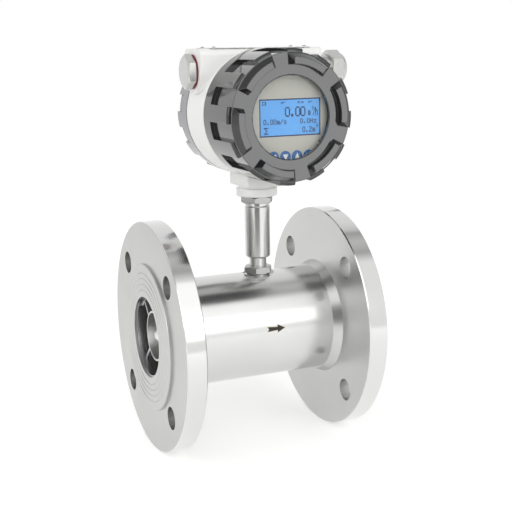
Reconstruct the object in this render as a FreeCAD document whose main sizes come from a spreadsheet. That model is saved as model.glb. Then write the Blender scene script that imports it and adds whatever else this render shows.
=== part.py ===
import FreeCAD, Part
import math
import os
import Sketcher

# Turbine flowmeter with a local display, millimetres.
# Frame: origin at the centre of the inlet's bolt circle on the plate's face, +X with the flow, +Z up.
# The display looks towards -Y.

V = FreeCAD.Vector

# Driving dimensions, kept in the sheet. Angles are in degrees.
DIMENSIONS = {
    # pipe run, DN65 with PN16 flanges
    "face_to_face": 170.0,
    "bore_radius": 32.5,
    "tube_radius": 43.5,
    "tube_socket": 8.0,
    "flange_radius": 92.5,
    "flange_thick": 16.0,
    "raised_radius": 59.0,
    "raised_height": 2.0,
    "bolt_circle_radius": 72.5,
    "bolt_hole_radius": 9.0,
    "hub_radius": 48.0,
    "hub_end_radius": 44.6,
    "hub_length": 7.0,
    "seal_groove_start": 38.0,
    "seal_groove_pitch": 4.6,
    "seal_groove_width": 1.2,
    "seal_groove_depth": 0.5,
    "snap_groove_radius": 34.3,
    "snap_groove_start": 1.5,
    "snap_groove_end": 6.7,
    "snap_inner_radius": 31.0,
    # flow guides and rotor
    "meter_centre": 96.0,
    "inlet_guide_end": 85.0,
    "outlet_guide_start": 107.0,
    "guide_outer_radius": 32.4,
    "guide_ring_radius": 20.2,
    "guide_ring_wall": 1.5,
    "guide_rotor_gap": 3.0,
    "guide_plate": 2.0,
    "guide_hub_radius": 9.0,
    "guide_nose_inset": 1.0,
    "guide_nose_length": 12.0,
    "bearing_radius": 4.5,
    "bearing_length": 5.0,
    "pad_length": 2.5,
    "shaft_radius": 2.0,
    "shaft_clearance": 0.05,
    "shaft_end_play": 0.15,
    "rotor_hub_radius": 11.0,
    "rotor_hub_length": 19.0,
    "rotor_tip_radius": 31.7,
    "blade_width": 16.0,
    "blade_root_thick": 1.8,
    "blade_tip_thick": 1.1,
    "blade_lead": 240.0,
    # pickup stem
    "pickup_tip": 34.8,
    "pickup_neck_radius": 7.0,
    "pickup_shoulder": 57.8,
    "pickup_radius": 10.35,
    "pickup_top": 98.4,
    "thread_clearance": 0.05,
    "seat_height": 41.6,
    "seat_radius": 13.0,
    "spigot_radius": 8.0,
    "spigot_shoulder": 101.6,
    "spigot_top": 130.0,
    "coil_bore_radius": 5.6,
    "stem_bore_radius": 8.8,
    "pole_radius": 2.0,
    "lock_nut_corner": 12.13,
    "lock_nut_top": 49.0,
    "jam_nut_corner": 13.86,
    "jam_nut_top": 107.2,
    # head: positions along Y are measured from the stem axis
    "head_height": 174.0,
    "drum_radius": 51.0,
    "drum_front": -17.5,
    "drum_rear": 21.0,
    "neck_radius": 44.0,
    "front_neck_end": -33.0,
    "rear_neck_end": 34.0,
    "chamber_radius": 40.0,
    "wall_front": -13.0,
    "wall_rear": -9.0,
    "boss_radius": 17.5,
    "boss_reach": 51.5,
    "boss_height": 33.5,
    "boss_middle": 1.75,
    "entry_radius": 10.0,
    "block_half": 15.2,
    "block_bottom": -58.0,
    "collar_radius": 16.7,
    "collar_top": -59.9,
    "collar_bottom": -66.5,
    # covers
    "cover_gap": 0.3,
    "cover_bore_radius": 44.06,
    "cover_inner_radius": 42.0,
    "cover_front": -68.2,
    "cover_rear": 45.0,
    "cover_corner": 2.8,
    "recess_radius": 48.2,
    "recess_angle": 15.5,
    "recess_rear": -32.0,
    "rear_recess_front": 32.0,
    "grip_height": 5.0,
    "grip_inner": 38.8,
    "grip_outer": 47.9,
    "grip_top_inner": 39.3,
    "grip_top_outer": 44.4,
    "grip_half_angle": 22.5,
    "grip_top_half_angle": 18.0,
    "window_radius": 31.0,
    "window_lip": 3.5,
    "glass_radius": 34.6,
    "glass_rear": -60.7,
    "ring_radius": 36.4,
    "ring_inner": 32.8,
    "cover_wall_inner": -59.7,
    "oring_centre_radius": 47.2,
    "oring_radius": 1.15,
    # display stack
    "panel_front": -58.9,
    "panel_thick": 1.8,
    "panel_radius": 40.0,
    "lcd_width": 50.5,
    "lcd_height": 28.1,
    "lcd_x": 2.7,
    "lcd_z": -0.4,
    "lcd_frame": 3.5,
    "board_thick": 1.6,
    "display_board_front": -53.2,
    "main_board_front": -34.0,
    "board_radius": 38.0,
    "post_circle": 34.5,
    "post_radius": 2.6,
    "key_pitch": 9.7,
    "key_x": 3.2,
    "key_z": -29.7,
    "key_radius": 4.4,
    "key_hole_radius": 4.5,
    "key_flange_radius": 4.7,
    "key_proud": 0.4,
    # entries
    "entry_thread_radius": 9.95,
    "entry_thread_length": 10.5,
    "plug_corner": 13.86,
    "plug_head": 6.5,
    "plug_seal": 1.0,
    "gland_hex_length": 5.5,
    "gland_barrel_radius": 11.2,
    "gland_barrel_end": 70.0,
    "gland_bore_radius": 8.6,
    "gland_nut_start": 64.0,
    "gland_nut_end": 79.0,
    "gland_nut_radius": 14.8,
    "gland_nut_corner": 15.59,
    "cable_radius": 5.0,
    # name plate
    "plate_length": 85.0,
    "plate_width": 31.0,
    "plate_thick": 0.6,
    "rivet_x": 38.5,
    "rivet_y": 12.5,
    "rivet_radius": 1.7,
}

doc = FreeCAD.newDocument("TurbineFlowmeter")
sheet = doc.addObject("Spreadsheet::Sheet", "Sizes")
for row, (alias, value) in enumerate(DIMENSIONS.items(), start=1):
    sheet.set(f"A{row}", alias)
    sheet.set(f"B{row}", f"{value:g}")
    sheet.setAlias(f"B{row}", alias)
doc.recompute()


class Size:
    """A length that knows its value and the sheet expression that gives it."""

    def __init__(self, value, text):
        self.value = value
        self.text = text

    def __add__(self, other):
        other = as_size(other)
        return Size(self.value + other.value, f"({self.text} + {other.text})")

    def __sub__(self, other):
        other = as_size(other)
        return Size(self.value - other.value, f"({self.text} - {other.text})")

    def __mul__(self, factor):
        return Size(self.value * factor, f"({self.text} * {factor:g})")

    def __neg__(self):
        return Size(-self.value, f"(-1 * {self.text})")

    def __truediv__(self, factor):
        return Size(self.value / factor, f"({self.text} / {factor:g})")


def as_size(number):
    if isinstance(number, Size):
        return number
    return Size(float(number), f"({number:g})")


class SizeSheet:
    """Attribute access to the sheet: sizes.bore_radius is the bore's radius."""

    def __getattr__(self, alias):
        return Size(DIMENSIONS[alias], f"Sizes.{alias}")


sizes = SizeSheet()
nodes = {}


# Small helpers

def bind(obj, prop, size):
    obj.setExpression(prop, as_size(size).text)


def turn(axis, angle):
    return FreeCAD.Rotation(V(*axis), angle)


ALONG_X = turn((0, 1, 0), 90)
ALONG_Y = turn((1, 0, 0), -90)
ALONG_Z = turn((0, 0, 1), 0)


def place(obj, at, rotation=ALONG_Z):
    """Puts an object at a point whose three coordinates may be sheet sizes."""
    point = [as_size(c) for c in at]
    obj.Placement = FreeCAD.Placement(V(*[c.value for c in point]), rotation)
    for letter, size in zip("xyz", point):
        bind(obj, f"Placement.Base.{letter}", size)
    return obj


def cylinder(name, radius, length, at=(0, 0, 0), rotation=ALONG_Z):
    obj = doc.addObject("Part::Cylinder", name)
    bind(obj, "Radius", radius)
    bind(obj, "Height", length)
    return place(obj, at, rotation)


def box(name, length, width, height, at):
    """A box centred on its point along X, starting at the point along Y and Z."""
    obj = doc.addObject("Part::Box", name)
    bind(obj, "Length", length)
    bind(obj, "Width", width)
    bind(obj, "Height", height)
    x, y, z = at
    return place(obj, (as_size(x) - as_size(length) / 2, y, z))


def hexagon(name, corner_radius, length, at, rotation=ALONG_Z):
    obj = doc.addObject("Part::Prism", name)
    obj.Polygon = 6
    bind(obj, "Circumradius", corner_radius)
    bind(obj, "Height", length)
    return place(obj, at, rotation)


def cut(name, base, tool):
    obj = doc.addObject("Part::Cut", name)
    obj.Base = base
    obj.Tool = tool
    return obj


def fuse(name, pieces):
    obj = doc.addObject("Part::MultiFuse", name)
    obj.Shapes = pieces
    obj.Refine = True
    return obj


def common(name, base, tool):
    obj = doc.addObject("Part::Common", name)
    obj.Base = base
    obj.Tool = tool
    return obj


def group(name, pieces):
    """Separate solids that share one node."""
    obj = doc.addObject("Part::Compound", name)
    obj.Links = pieces
    return obj


def node(name, obj):
    """Registers the object that becomes parts/name.step."""
    obj.Label = name
    nodes[name] = obj
    return obj


def origin_plane(body, role):
    for feature in body.Origin.OriginFeatures:
        if feature.Role == role:
            return feature
    raise ValueError(role)


def new_body(name):
    return doc.addObject("PartDesign::Body", name)


def new_sketch(body, name, role, offset=0):
    sketch = body.newObject("Sketcher::SketchObject", name)
    sketch.AttachmentSupport = [(origin_plane(body, role), "")]
    sketch.MapMode = "FlatFace"
    shift = as_size(offset)
    sketch.AttachmentOffset = FreeCAD.Placement(V(0, 0, shift.value), FreeCAD.Rotation())
    bind(sketch, "AttachmentOffset.Base.z", shift)
    return sketch


def fix_point(sketch, geometry, end, x, y):
    """Ties a point of the sketch to two sheet sizes."""
    for kind, axis, size in (("DistanceX", -2, as_size(x)), ("DistanceY", -1, as_size(y))):
        if abs(size.value) < 1e-9:
            sketch.addConstraint(Sketcher.Constraint("PointOnObject", geometry, end, axis))
            continue
        index = sketch.addConstraint(
            Sketcher.Constraint(kind, -1, 1, geometry, end, size.value))
        sketch.setExpression(f"Constraints[{index}]", size.text)


def winding(spots):
    """1 if the outline runs anticlockwise, else -1."""
    area = sum(a.x * b.y - b.x * a.y for a, b in zip(spots, spots[1:] + spots[:1]))
    return 1 if area > 0 else -1


def arc_centre(start, end, radius):
    """Centre of the arc that runs from start to end, left of the chord if radius is positive."""
    chord = end - start
    middle = (start + end) * 0.5
    rise = math.sqrt(max(radius * radius - chord.Length ** 2 / 4, 0.0))
    side = V(-chord.y, chord.x, 0).normalize() * rise
    return middle + side if radius > 0 else middle - side


def draw_profile(sketch, points):
    """A closed outline. A point is (x, y), or (x, y, radius) where an arc leads to it.

    A positive radius bulges out of the outline, a negative one into it."""
    count = len(points)
    spots = [V(as_size(p[0]).value, as_size(p[1]).value, 0) for p in points]
    way = winding(spots)
    for i in range(count):
        start, end = spots[i], spots[(i + 1) % count]
        radius = points[(i + 1) % count][2] if len(points[(i + 1) % count]) > 2 else None
        if radius is None:
            sketch.addGeometry(Part.LineSegment(start, end), False)
            continue
        size = as_size(radius)
        centre = arc_centre(start, end, size.value * way)
        outward = ((start + end) * 0.5 - centre).normalize() * abs(size.value)
        sketch.addGeometry(Part.Arc(start, centre + outward, end), False)
    for i in range(count):
        following = (i + 1) % count
        here_end = end_vertex(sketch, i, spots[following])
        next_start = end_vertex(sketch, following, spots[following])
        sketch.addConstraint(Sketcher.Constraint(
            "Coincident", i, here_end, following, next_start))
    for i in range(count):
        fix_point(sketch, i, end_vertex(sketch, i, spots[i]), points[i][0], points[i][1])
    for i in range(count):
        target = points[(i + 1) % count]
        if len(target) > 2:
            size = as_size(target[2])
            positive = size if size.value > 0 else -size
            index = sketch.addConstraint(Sketcher.Constraint("Radius", i, positive.value))
            sketch.setExpression(f"Constraints[{index}]", positive.text)


def end_vertex(sketch, geometry, spot):
    """1 or 2: which end of the geometry lies on the spot."""
    near = sketch.getPoint(geometry, 1)
    far = sketch.getPoint(geometry, 2)
    return 1 if (near - spot).Length < (far - spot).Length else 2


TURN_PLANES = {"X": ("XZ_Plane", "H_Axis"), "Y": ("YZ_Plane", "H_Axis"), "Z": ("XZ_Plane", "V_Axis")}


def turned(name, axis, points):
    """A turned piece. Points are (along, radius), or (radius, height) about Z."""
    body = new_body(name)
    role, reference = TURN_PLANES[axis]
    sketch = new_sketch(body, f"{name}_section", role)
    draw_profile(sketch, points)
    revolution = body.newObject("PartDesign::Revolution", f"{name}_turning")
    revolution.Profile = sketch
    revolution.ReferenceAxis = (sketch, [reference])
    revolution.Angle = 360
    body.Tip = revolution
    return body


def ring_section(start, end, inner, outer):
    return [(start, inner), (end, inner), (end, outer), (start, outer)]


def sector(inner, outer, half_angle, middle):
    """Outline of a ring sector about the sketch's origin, angles in degrees."""
    low = math.radians(middle - half_angle)
    high = math.radians(middle + half_angle)
    return [
        (outer * math.cos(low), outer * math.sin(low)),
        (outer * math.cos(high), outer * math.sin(high), outer),
        (inner * math.cos(high), inner * math.sin(high)),
        (inner * math.cos(low), inner * math.sin(low), -inner),
    ]


def sketch_on(body, name, role, offset, points):
    sketch = new_sketch(body, name, role, offset)
    draw_profile(sketch, points)
    return sketch


def pocket(body, name, sketch, depth, reverse=False):
    feature = body.newObject("PartDesign::Pocket", name)
    feature.Profile = sketch
    feature.Reversed = reverse
    bind(feature, "Length", depth)
    body.Tip = feature
    return feature


def pad(body, name, sketch, length, reverse=False, both=False):
    feature = body.newObject("PartDesign::Pad", name)
    feature.Profile = sketch
    feature.Reversed = reverse
    feature.Midplane = both
    bind(feature, "Length", length)
    body.Tip = feature
    return feature


def round_pattern(body, name, feature, sketch, count):
    pattern = body.newObject("PartDesign::PolarPattern", name)
    pattern.Originals = [feature]
    pattern.Axis = (sketch, ["N_Axis"])
    pattern.Angle = 360
    pattern.Occurrences = count
    body.Tip = pattern
    return pattern


def fillet_edges(name, base, radius, wanted):
    """Rounds the edges of base that the test picks."""
    doc.recompute()
    edges = [(i, radius.value, radius.value)
             for i, edge in enumerate(base.Shape.Edges, start=1) if wanted(edge)]
    obj = doc.addObject("Part::Fillet", name)
    obj.Base = base
    obj.Edges = edges
    return obj


# Pipe run

def make_flange(name, at, rotation):
    """Slip-on flange: raised face with gasket grooves, bolt holes and a tapered hub."""
    inner_face = sizes.raised_height + sizes.flange_thick
    points = [(0, sizes.bore_radius)]
    for k in range(4):
        groove = sizes.seal_groove_start + sizes.seal_groove_pitch * k
        half = sizes.seal_groove_width / 2
        points += [(0, groove - half), (sizes.seal_groove_depth, groove), (0, groove + half)]
    points += [
        (0, sizes.raised_radius - 0.5),
        (0.5, sizes.raised_radius),
        (sizes.raised_height, sizes.raised_radius),
        (sizes.raised_height, sizes.flange_radius - 0.8),
        (sizes.raised_height + 0.8, sizes.flange_radius),
        (inner_face - 0.8, sizes.flange_radius),
        (inner_face, sizes.flange_radius - 0.8),
        (inner_face, sizes.hub_radius),
        (inner_face + sizes.hub_length, sizes.hub_end_radius),
        (inner_face + sizes.hub_length, sizes.tube_radius),
        (sizes.tube_socket, sizes.tube_radius),
        (sizes.tube_socket, sizes.bore_radius),
        (sizes.snap_groove_end, sizes.bore_radius),
        (sizes.snap_groove_end, sizes.snap_groove_radius),
        (sizes.snap_groove_start, sizes.snap_groove_radius),
        (sizes.snap_groove_start, sizes.bore_radius),
    ]
    body = turned(name, "X", points)
    sketch = new_sketch(body, f"{name}_hole", "YZ_Plane")
    reach = sizes.bolt_circle_radius * math.cos(math.radians(45))
    circle = sketch.addGeometry(Part.Circle(V(reach.value, reach.value, 0), V(0, 0, 1), 9), False)
    fix_point(sketch, circle, 3, reach, reach)
    index = sketch.addConstraint(Sketcher.Constraint("Radius", circle, 9.0))
    sketch.setExpression(f"Constraints[{index}]", sizes.bolt_hole_radius.text)
    hole = pocket(body, f"{name}_bolt_hole", sketch, inner_face + 1, reverse=True)
    round_pattern(body, f"{name}_bolt_holes", hole, sketch, 4)
    place(body, at, rotation)
    return node(name, body)


def make_body_tube():
    length = sizes.face_to_face - sizes.tube_socket * 2
    start = (sizes.tube_socket - sizes.raised_height, 0, 0)
    wall = cylinder("tube_wall", sizes.tube_radius, length, start, ALONG_X)
    bore = cylinder("tube_bore", sizes.bore_radius, length, start, ALONG_X)
    seat = cylinder("tube_nut_seat", sizes.seat_radius, 6,
                    (sizes.meter_centre, 0, sizes.seat_height))
    socket = cylinder("tube_pickup_socket", sizes.pickup_neck_radius + sizes.thread_clearance, 12,
                      (sizes.meter_centre, 0, sizes.pickup_tip - 0.1))
    node("body_tube", cut("body_tube", wall, fuse("tube_cuts", [bore, seat, socket])))


def make_snap_ring(name, start):
    """Split spring ring in the flange's groove, with its gap at the top."""
    width = sizes.snap_groove_end - sizes.snap_groove_start - 0.2
    outer = cylinder(f"{name}_outer", sizes.snap_groove_radius - 0.1, width, (start, 0, 0), ALONG_X)
    inner = cylinder(f"{name}_inner", sizes.snap_inner_radius, width, (start, 0, 0), ALONG_X)
    gap = box(f"{name}_gap", 20, 26, 20, (as_size(start) + 3, -2, 20))
    node(name, cut(name, outer, fuse(f"{name}_cuts", [inner, gap])))


def make_guide(side, mouth, rotor_end, direction):
    """Flow straightener: nosed hub with a bearing seat, ring, and eight plates welded between them.

    direction is 1 on the inlet side and -1 on the outlet side."""
    nose = mouth + sizes.guide_nose_inset * direction
    shoulder = nose + sizes.guide_nose_length * direction
    plate_end = rotor_end - sizes.guide_rotor_gap * direction
    seat_end = rotor_end - (sizes.bearing_length + sizes.pad_length) * direction
    cap = sizes.guide_hub_radius
    node(f"{side}_guide_hub", turned(f"{side}_guide_hub", "X", [
        (nose, 0),
        (seat_end, 0),
        (seat_end, sizes.bearing_radius),
        (rotor_end, sizes.bearing_radius),
        (rotor_end, cap - 1.5),
        (rotor_end - 1.5 * direction, cap),
        (shoulder, cap),
        (nose + 6 * direction, cap - 1.6),
        (nose + 2 * direction, cap - 4.2),
        (nose, cap - 6.5),
    ]))
    ring = sizes.guide_ring_radius
    node(f"{side}_vane_ring", turned(f"{side}_vane_ring", "X", ring_section(
        mouth, plate_end, ring - sizes.guide_ring_wall, ring)))
    plates = []
    for k in range(4):
        plates.append(guide_plate(f"{side}_outer_plate_{k + 1}", mouth, plate_end, direction,
                                  ring + 0.02, sizes.guide_outer_radius, 45 + 90 * k))
        plates.append(guide_plate(f"{side}_inner_plate_{k + 1}", shoulder, plate_end, direction,
                                  cap + 0.02, ring - sizes.guide_ring_wall - 0.05, 45 + 90 * k))
    node(f"{side}_vanes", group(f"{side}_vanes", plates))


def guide_plate(name, start, end, direction, inner, outer, angle):
    """A flat plate along the pipe, between two radii at an angle round the axis."""
    plate = doc.addObject("Part::Box", name)
    bind(plate, "Length", (end - start) * direction)
    bind(plate, "Width", outer - inner)
    bind(plate, "Height", sizes.guide_plate)
    tilt = math.radians(angle)
    thin = sizes.guide_plate / 2
    return place(plate,
                 (start if direction > 0 else end,
                  inner * math.cos(tilt) + thin * math.sin(tilt),
                  inner * math.sin(tilt) - thin * math.cos(tilt)),
                 turn((1, 0, 0), angle))


def make_bearings():
    inlet_end = sizes.inlet_guide_end
    outlet_end = sizes.outlet_guide_start
    bore = sizes.shaft_radius + sizes.shaft_clearance
    node("inlet_bearing", turned("inlet_bearing", "X", ring_section(
        inlet_end - sizes.bearing_length, inlet_end, bore, sizes.bearing_radius)))
    node("outlet_bearing", turned("outlet_bearing", "X", ring_section(
        outlet_end, outlet_end + sizes.bearing_length, bore, sizes.bearing_radius)))
    inlet_pad = inlet_end - sizes.bearing_length - sizes.pad_length
    node("inlet_thrust_pad", cylinder(
        "inlet_thrust_pad", sizes.bearing_radius, sizes.pad_length, (inlet_pad, 0, 0), ALONG_X))
    node("outlet_thrust_pad", cylinder(
        "outlet_thrust_pad", sizes.bearing_radius, sizes.pad_length,
        (outlet_end + sizes.bearing_length, 0, 0), ALONG_X))


def blade_section(radius, thick, width, lead):
    """Closed wire of a blade at a radius: a lozenge laid along the helix."""
    slope = 2 * math.pi * radius / lead
    along = V(1, slope, 0).normalize()
    across = V(-along.y, along.x, 0)
    half = width / 2 * math.sqrt(1 + slope * slope)
    tip = 0.25
    corners = [
        along * half + across * (thick * tip),
        across * (thick / 2) + along * (half * 0.55),
        across * (thick / 2) - along * (half * 0.55),
        -along * half + across * (thick * tip),
        -along * half - across * (thick * tip),
        -across * (thick / 2) - along * (half * 0.55),
        -across * (thick / 2) + along * (half * 0.55),
        along * half - across * (thick * tip),
    ]
    points = [V(c.x, c.y, radius) for c in corners]
    return Part.makePolygon(points + points[:1])


def make_rotor():
    """Hub with eight helical blades: each blade is a loft of sections that follow one helix."""
    tip = sizes.rotor_tip_radius.value
    root = sizes.rotor_hub_radius.value - 1.5
    width = sizes.blade_width.value
    sections = []
    for part in (0.0, 0.5, 1.0):
        radius = root + (tip + 2 - root) * part
        thick = sizes.blade_root_thick.value * (1 - part) + sizes.blade_tip_thick.value * part
        sections.append(blade_section(radius, thick, width, sizes.blade_lead.value))
    blade = Part.makeLoft(sections, True, True)
    envelope = Part.makeCylinder(tip, width, V(-width / 2, 0, 0), V(1, 0, 0))
    blade = blade.common(envelope)
    length = sizes.rotor_hub_length.value
    hub = Part.makeCylinder(sizes.rotor_hub_radius.value, length, V(-length / 2, 0, 0), V(1, 0, 0))
    hub = hub.makeChamfer(1.2, [e for e in hub.Edges if len(e.Vertexes) == 1])
    blades = []
    for k in range(8):
        copy = blade.copy()
        copy.rotate(V(0, 0, 0), V(1, 0, 0), 45 * k + 22.5)
        blades.append(copy)
    shape = hub.multiFuse(blades)
    bore = Part.makeCylinder(sizes.shaft_radius.value, length + 2, V(-length / 2 - 1, 0, 0), V(1, 0, 0))
    rotor = doc.addObject("Part::Feature", "rotor")
    rotor.Shape = shape.cut(bore).removeSplitter()
    place(rotor, (sizes.meter_centre, 0, 0))
    node("rotor", rotor)


def make_shaft():
    seat = sizes.bearing_length - sizes.shaft_end_play
    start = sizes.inlet_guide_end - seat
    end = sizes.outlet_guide_start + seat
    tip = 0.6
    node("rotor_shaft", turned("rotor_shaft", "X", [
        (start, 0), (end, 0), (end, sizes.shaft_radius - tip), (end - tip, sizes.shaft_radius),
        (start + tip, sizes.shaft_radius), (start, sizes.shaft_radius - tip),
    ]))


# Pickup stem

def stem_turned(name, points):
    body = turned(name, "Z", points)
    place(body, (sizes.meter_centre, 0, 0))
    return body


def make_pickup_body():
    """Turned sleeve: blind nose in the tube wall, wide barrel and threaded spigot."""
    neck = sizes.pickup_neck_radius
    barrel = sizes.pickup_radius
    shoulder = sizes.spigot_shoulder
    node("pickup_body", stem_turned("pickup_body", [
        (0, sizes.pickup_tip),
        (neck - 0.5, sizes.pickup_tip),
        (neck, sizes.pickup_tip + 0.5),
        (neck, sizes.pickup_shoulder - 2.2),
        (barrel - 1.2, sizes.pickup_shoulder - 1.2),
        (barrel, sizes.pickup_shoulder),
        (barrel, sizes.pickup_top),
        (barrel - 0.9, sizes.pickup_top + 0.9),
        (barrel - 0.9, shoulder - 1.4),
        (barrel + 0.1, shoulder - 1.2),
        (barrel + 0.1, shoulder),
        (sizes.spigot_radius, shoulder),
        (sizes.spigot_radius, sizes.spigot_top - 0.8),
        (sizes.spigot_radius - 0.8, sizes.spigot_top),
        (sizes.spigot_radius - 2.5, sizes.spigot_top),
        (sizes.spigot_radius - 2.5, sizes.pickup_top - 2),
        (sizes.stem_bore_radius, sizes.pickup_top - 4),
        (sizes.stem_bore_radius, sizes.pickup_shoulder + 1.5),
        (sizes.coil_bore_radius, sizes.pickup_shoulder - 1),
        (sizes.coil_bore_radius, sizes.pickup_tip + 1.1),
        (0, sizes.pickup_tip + 1.1),
    ]))


def make_nut(name, corner, bottom, top, hole, bottom_collar):
    """Hexagon nut with turned corners and, below, an optional round collar."""
    height = as_size(top) - bottom
    prism = hexagon(f"{name}_hexagon", corner, height, (sizes.meter_centre, 0, bottom))
    flat = corner * math.cos(math.radians(30))
    low = as_size(bottom)
    outline = [
        (hole, low),
        (flat - 1.2, low),
        (flat - 1.2, low + bottom_collar),
        (corner + 0.4, low + bottom_collar + 1.7),
        (corner + 0.4, as_size(top) - 1.4),
        (flat - 0.3, top),
        (hole, top),
    ]
    if bottom_collar == 0:
        outline[1:4] = [(flat - 0.3, low), (corner + 0.4, low + 1.4)]
    limits = stem_turned(f"{name}_turned", outline)
    node(name, common(name, prism, limits))


def make_coil_set():
    tip = sizes.pickup_tip + 1.1
    node("pole_piece", cylinder("pole_piece", sizes.pole_radius, 18, (sizes.meter_centre, 0, tip)))
    core = sizes.pole_radius + 0.1
    rim = sizes.coil_bore_radius - 0.2
    node("coil_bobbin", stem_turned("coil_bobbin", [
        (core, tip + 1), (rim, tip + 1), (rim, tip + 2), (core + 0.6, tip + 2),
        (core + 0.6, tip + 14), (rim, tip + 14), (rim, tip + 15), (core, tip + 15),
    ]))
    node("pickup_coil", stem_turned("pickup_coil", [
        (core + 0.6, tip + 2), (rim - 0.3, tip + 2), (rim - 0.3, tip + 14), (core + 0.6, tip + 14),
    ]))
    node("pickup_magnet", cylinder("pickup_magnet", 4.8, 8, (sizes.meter_centre, 0, tip + 18)))
    board = box("preamp_card", 14, 1.6, 26, (sizes.meter_centre, -0.8, sizes.pickup_shoulder + 8))
    chip = box("preamp_chip", 6, 1.5, 6, (sizes.meter_centre, -2.3, sizes.pickup_shoulder + 18))
    node("preamp_board", fuse("preamp_board", [board, chip]))


# Head housing

def head_place(obj, rotation=ALONG_Z):
    return place(obj, (sizes.meter_centre, 0, sizes.head_height), rotation)


def head_turned(name, points):
    body = turned(name, "Y", points)
    return head_place(body)


def make_head_housing():
    """Cast two-chamber housing: drum, threaded necks, entry bosses, foot block and collar."""
    corner = 1.5
    body = turned("head_housing", "Y", [
        (sizes.front_neck_end, 0),
        (sizes.front_neck_end, sizes.neck_radius - 1),
        (sizes.front_neck_end + 1, sizes.neck_radius),
        (sizes.drum_front, sizes.neck_radius),
        (sizes.drum_front, sizes.drum_radius - corner),
        (sizes.drum_front + corner, sizes.drum_radius, corner),
        (sizes.drum_rear - corner, sizes.drum_radius),
        (sizes.drum_rear, sizes.drum_radius - corner, corner),
        (sizes.drum_rear, sizes.neck_radius),
        (sizes.rear_neck_end - 1, sizes.neck_radius),
        (sizes.rear_neck_end, sizes.neck_radius - 1),
        (sizes.rear_neck_end, 0),
    ])
    middle = sizes.boss_middle
    half = sizes.boss_radius
    axis_height = sizes.boss_height
    top = axis_height + half
    round_top = 5
    boss_outline = [
        (middle + half, axis_height, half),
        (middle + half, top - round_top),
        (middle + half - round_top, top, round_top),
        (middle - half + round_top, top),
        (middle - half, top - round_top, round_top),
        (middle - half, axis_height),
        (middle, axis_height - half, half),
    ]
    sketch = sketch_on(body, "entry_boss_outline", "YZ_Plane", 0, boss_outline)
    pad(body, "entry_bosses", sketch, sizes.boss_reach * 2, both=True)
    edge = 1.5
    foot = [
        (sizes.block_half - edge, sizes.drum_front),
        (sizes.block_half, sizes.drum_front + edge, edge),
        (sizes.block_half, sizes.drum_rear - edge),
        (sizes.block_half - edge, sizes.drum_rear, edge),
        (edge - sizes.block_half.value, sizes.drum_rear),
        (-sizes.block_half, sizes.drum_rear - edge, edge),
        (-sizes.block_half, sizes.drum_front + edge),
        (edge - sizes.block_half.value, sizes.drum_front, edge),
    ]
    foot_sketch = sketch_on(body, "foot_outline", "XY_Plane", sizes.block_bottom, foot)
    pad(body, "foot_block", foot_sketch, 24)
    collar_sketch = new_sketch(body, "collar_section", "XZ_Plane")
    draw_profile(collar_sketch, [
        (0, sizes.block_bottom + 1),
        (0, sizes.collar_bottom),
        (sizes.collar_radius - 1.2, sizes.collar_bottom),
        (sizes.collar_radius, sizes.collar_bottom + 1.2, 1.2),
        (sizes.collar_radius, sizes.collar_top - 0.8),
        (sizes.collar_radius - 0.8, sizes.collar_top, 0.8),
        (sizes.collar_radius - 1.9, sizes.collar_top),
        (sizes.collar_radius - 1.9, sizes.block_bottom + 1),
    ])
    collar = body.newObject("PartDesign::Revolution", "collar")
    collar.Profile = collar_sketch
    collar.ReferenceAxis = (collar_sketch, ["V_Axis"])
    collar.Angle = 360
    body.Tip = collar
    for name, start, end in (("front_chamber", sizes.front_neck_end - 1, sizes.wall_front),
                             ("rear_chamber", sizes.wall_rear, sizes.rear_neck_end + 1)):
        chamber = new_sketch(body, f"{name}_section", "YZ_Plane")
        draw_profile(chamber, [(start, 0), (end, 0), (end, sizes.chamber_radius),
                               (start, sizes.chamber_radius)])
        groove = body.newObject("PartDesign::Groove", name)
        groove.Profile = chamber
        groove.ReferenceAxis = (chamber, ["H_Axis"])
        groove.Angle = 360
        body.Tip = groove
    circle_pocket(body, "entry_holes", "YZ_Plane", middle, axis_height, sizes.entry_radius,
                  sizes.boss_reach * 2 + 2, both=True)
    circle_pocket(body, "stem_hole", "XY_Plane", 0, 0, sizes.spigot_radius + sizes.thread_clearance,
                  32, offset=sizes.collar_bottom - 1, reverse=True)
    circle_pocket(body, "wire_hole", "XZ_Plane", 0, -28, 5, 8, offset=-sizes.wall_front + 2,
                  reverse=False)
    head_place(body)
    node("head_housing", body)


def circle_pocket(body, name, role, x, y, radius, depth, offset=0, reverse=False, both=False):
    sketch = new_sketch(body, f"{name}_outline", role, offset)
    centre = V(as_size(x).value, as_size(y).value, 0)
    size = as_size(radius)
    circle = sketch.addGeometry(Part.Circle(centre, V(0, 0, 1), size.value), False)
    fix_point(sketch, circle, 3, x, y)
    index = sketch.addConstraint(Sketcher.Constraint("Radius", circle, size.value))
    sketch.setExpression(f"Constraints[{index}]", size.text)
    feature = pocket(body, name, sketch, depth, reverse)
    feature.Midplane = both
    return feature


# Covers

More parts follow.
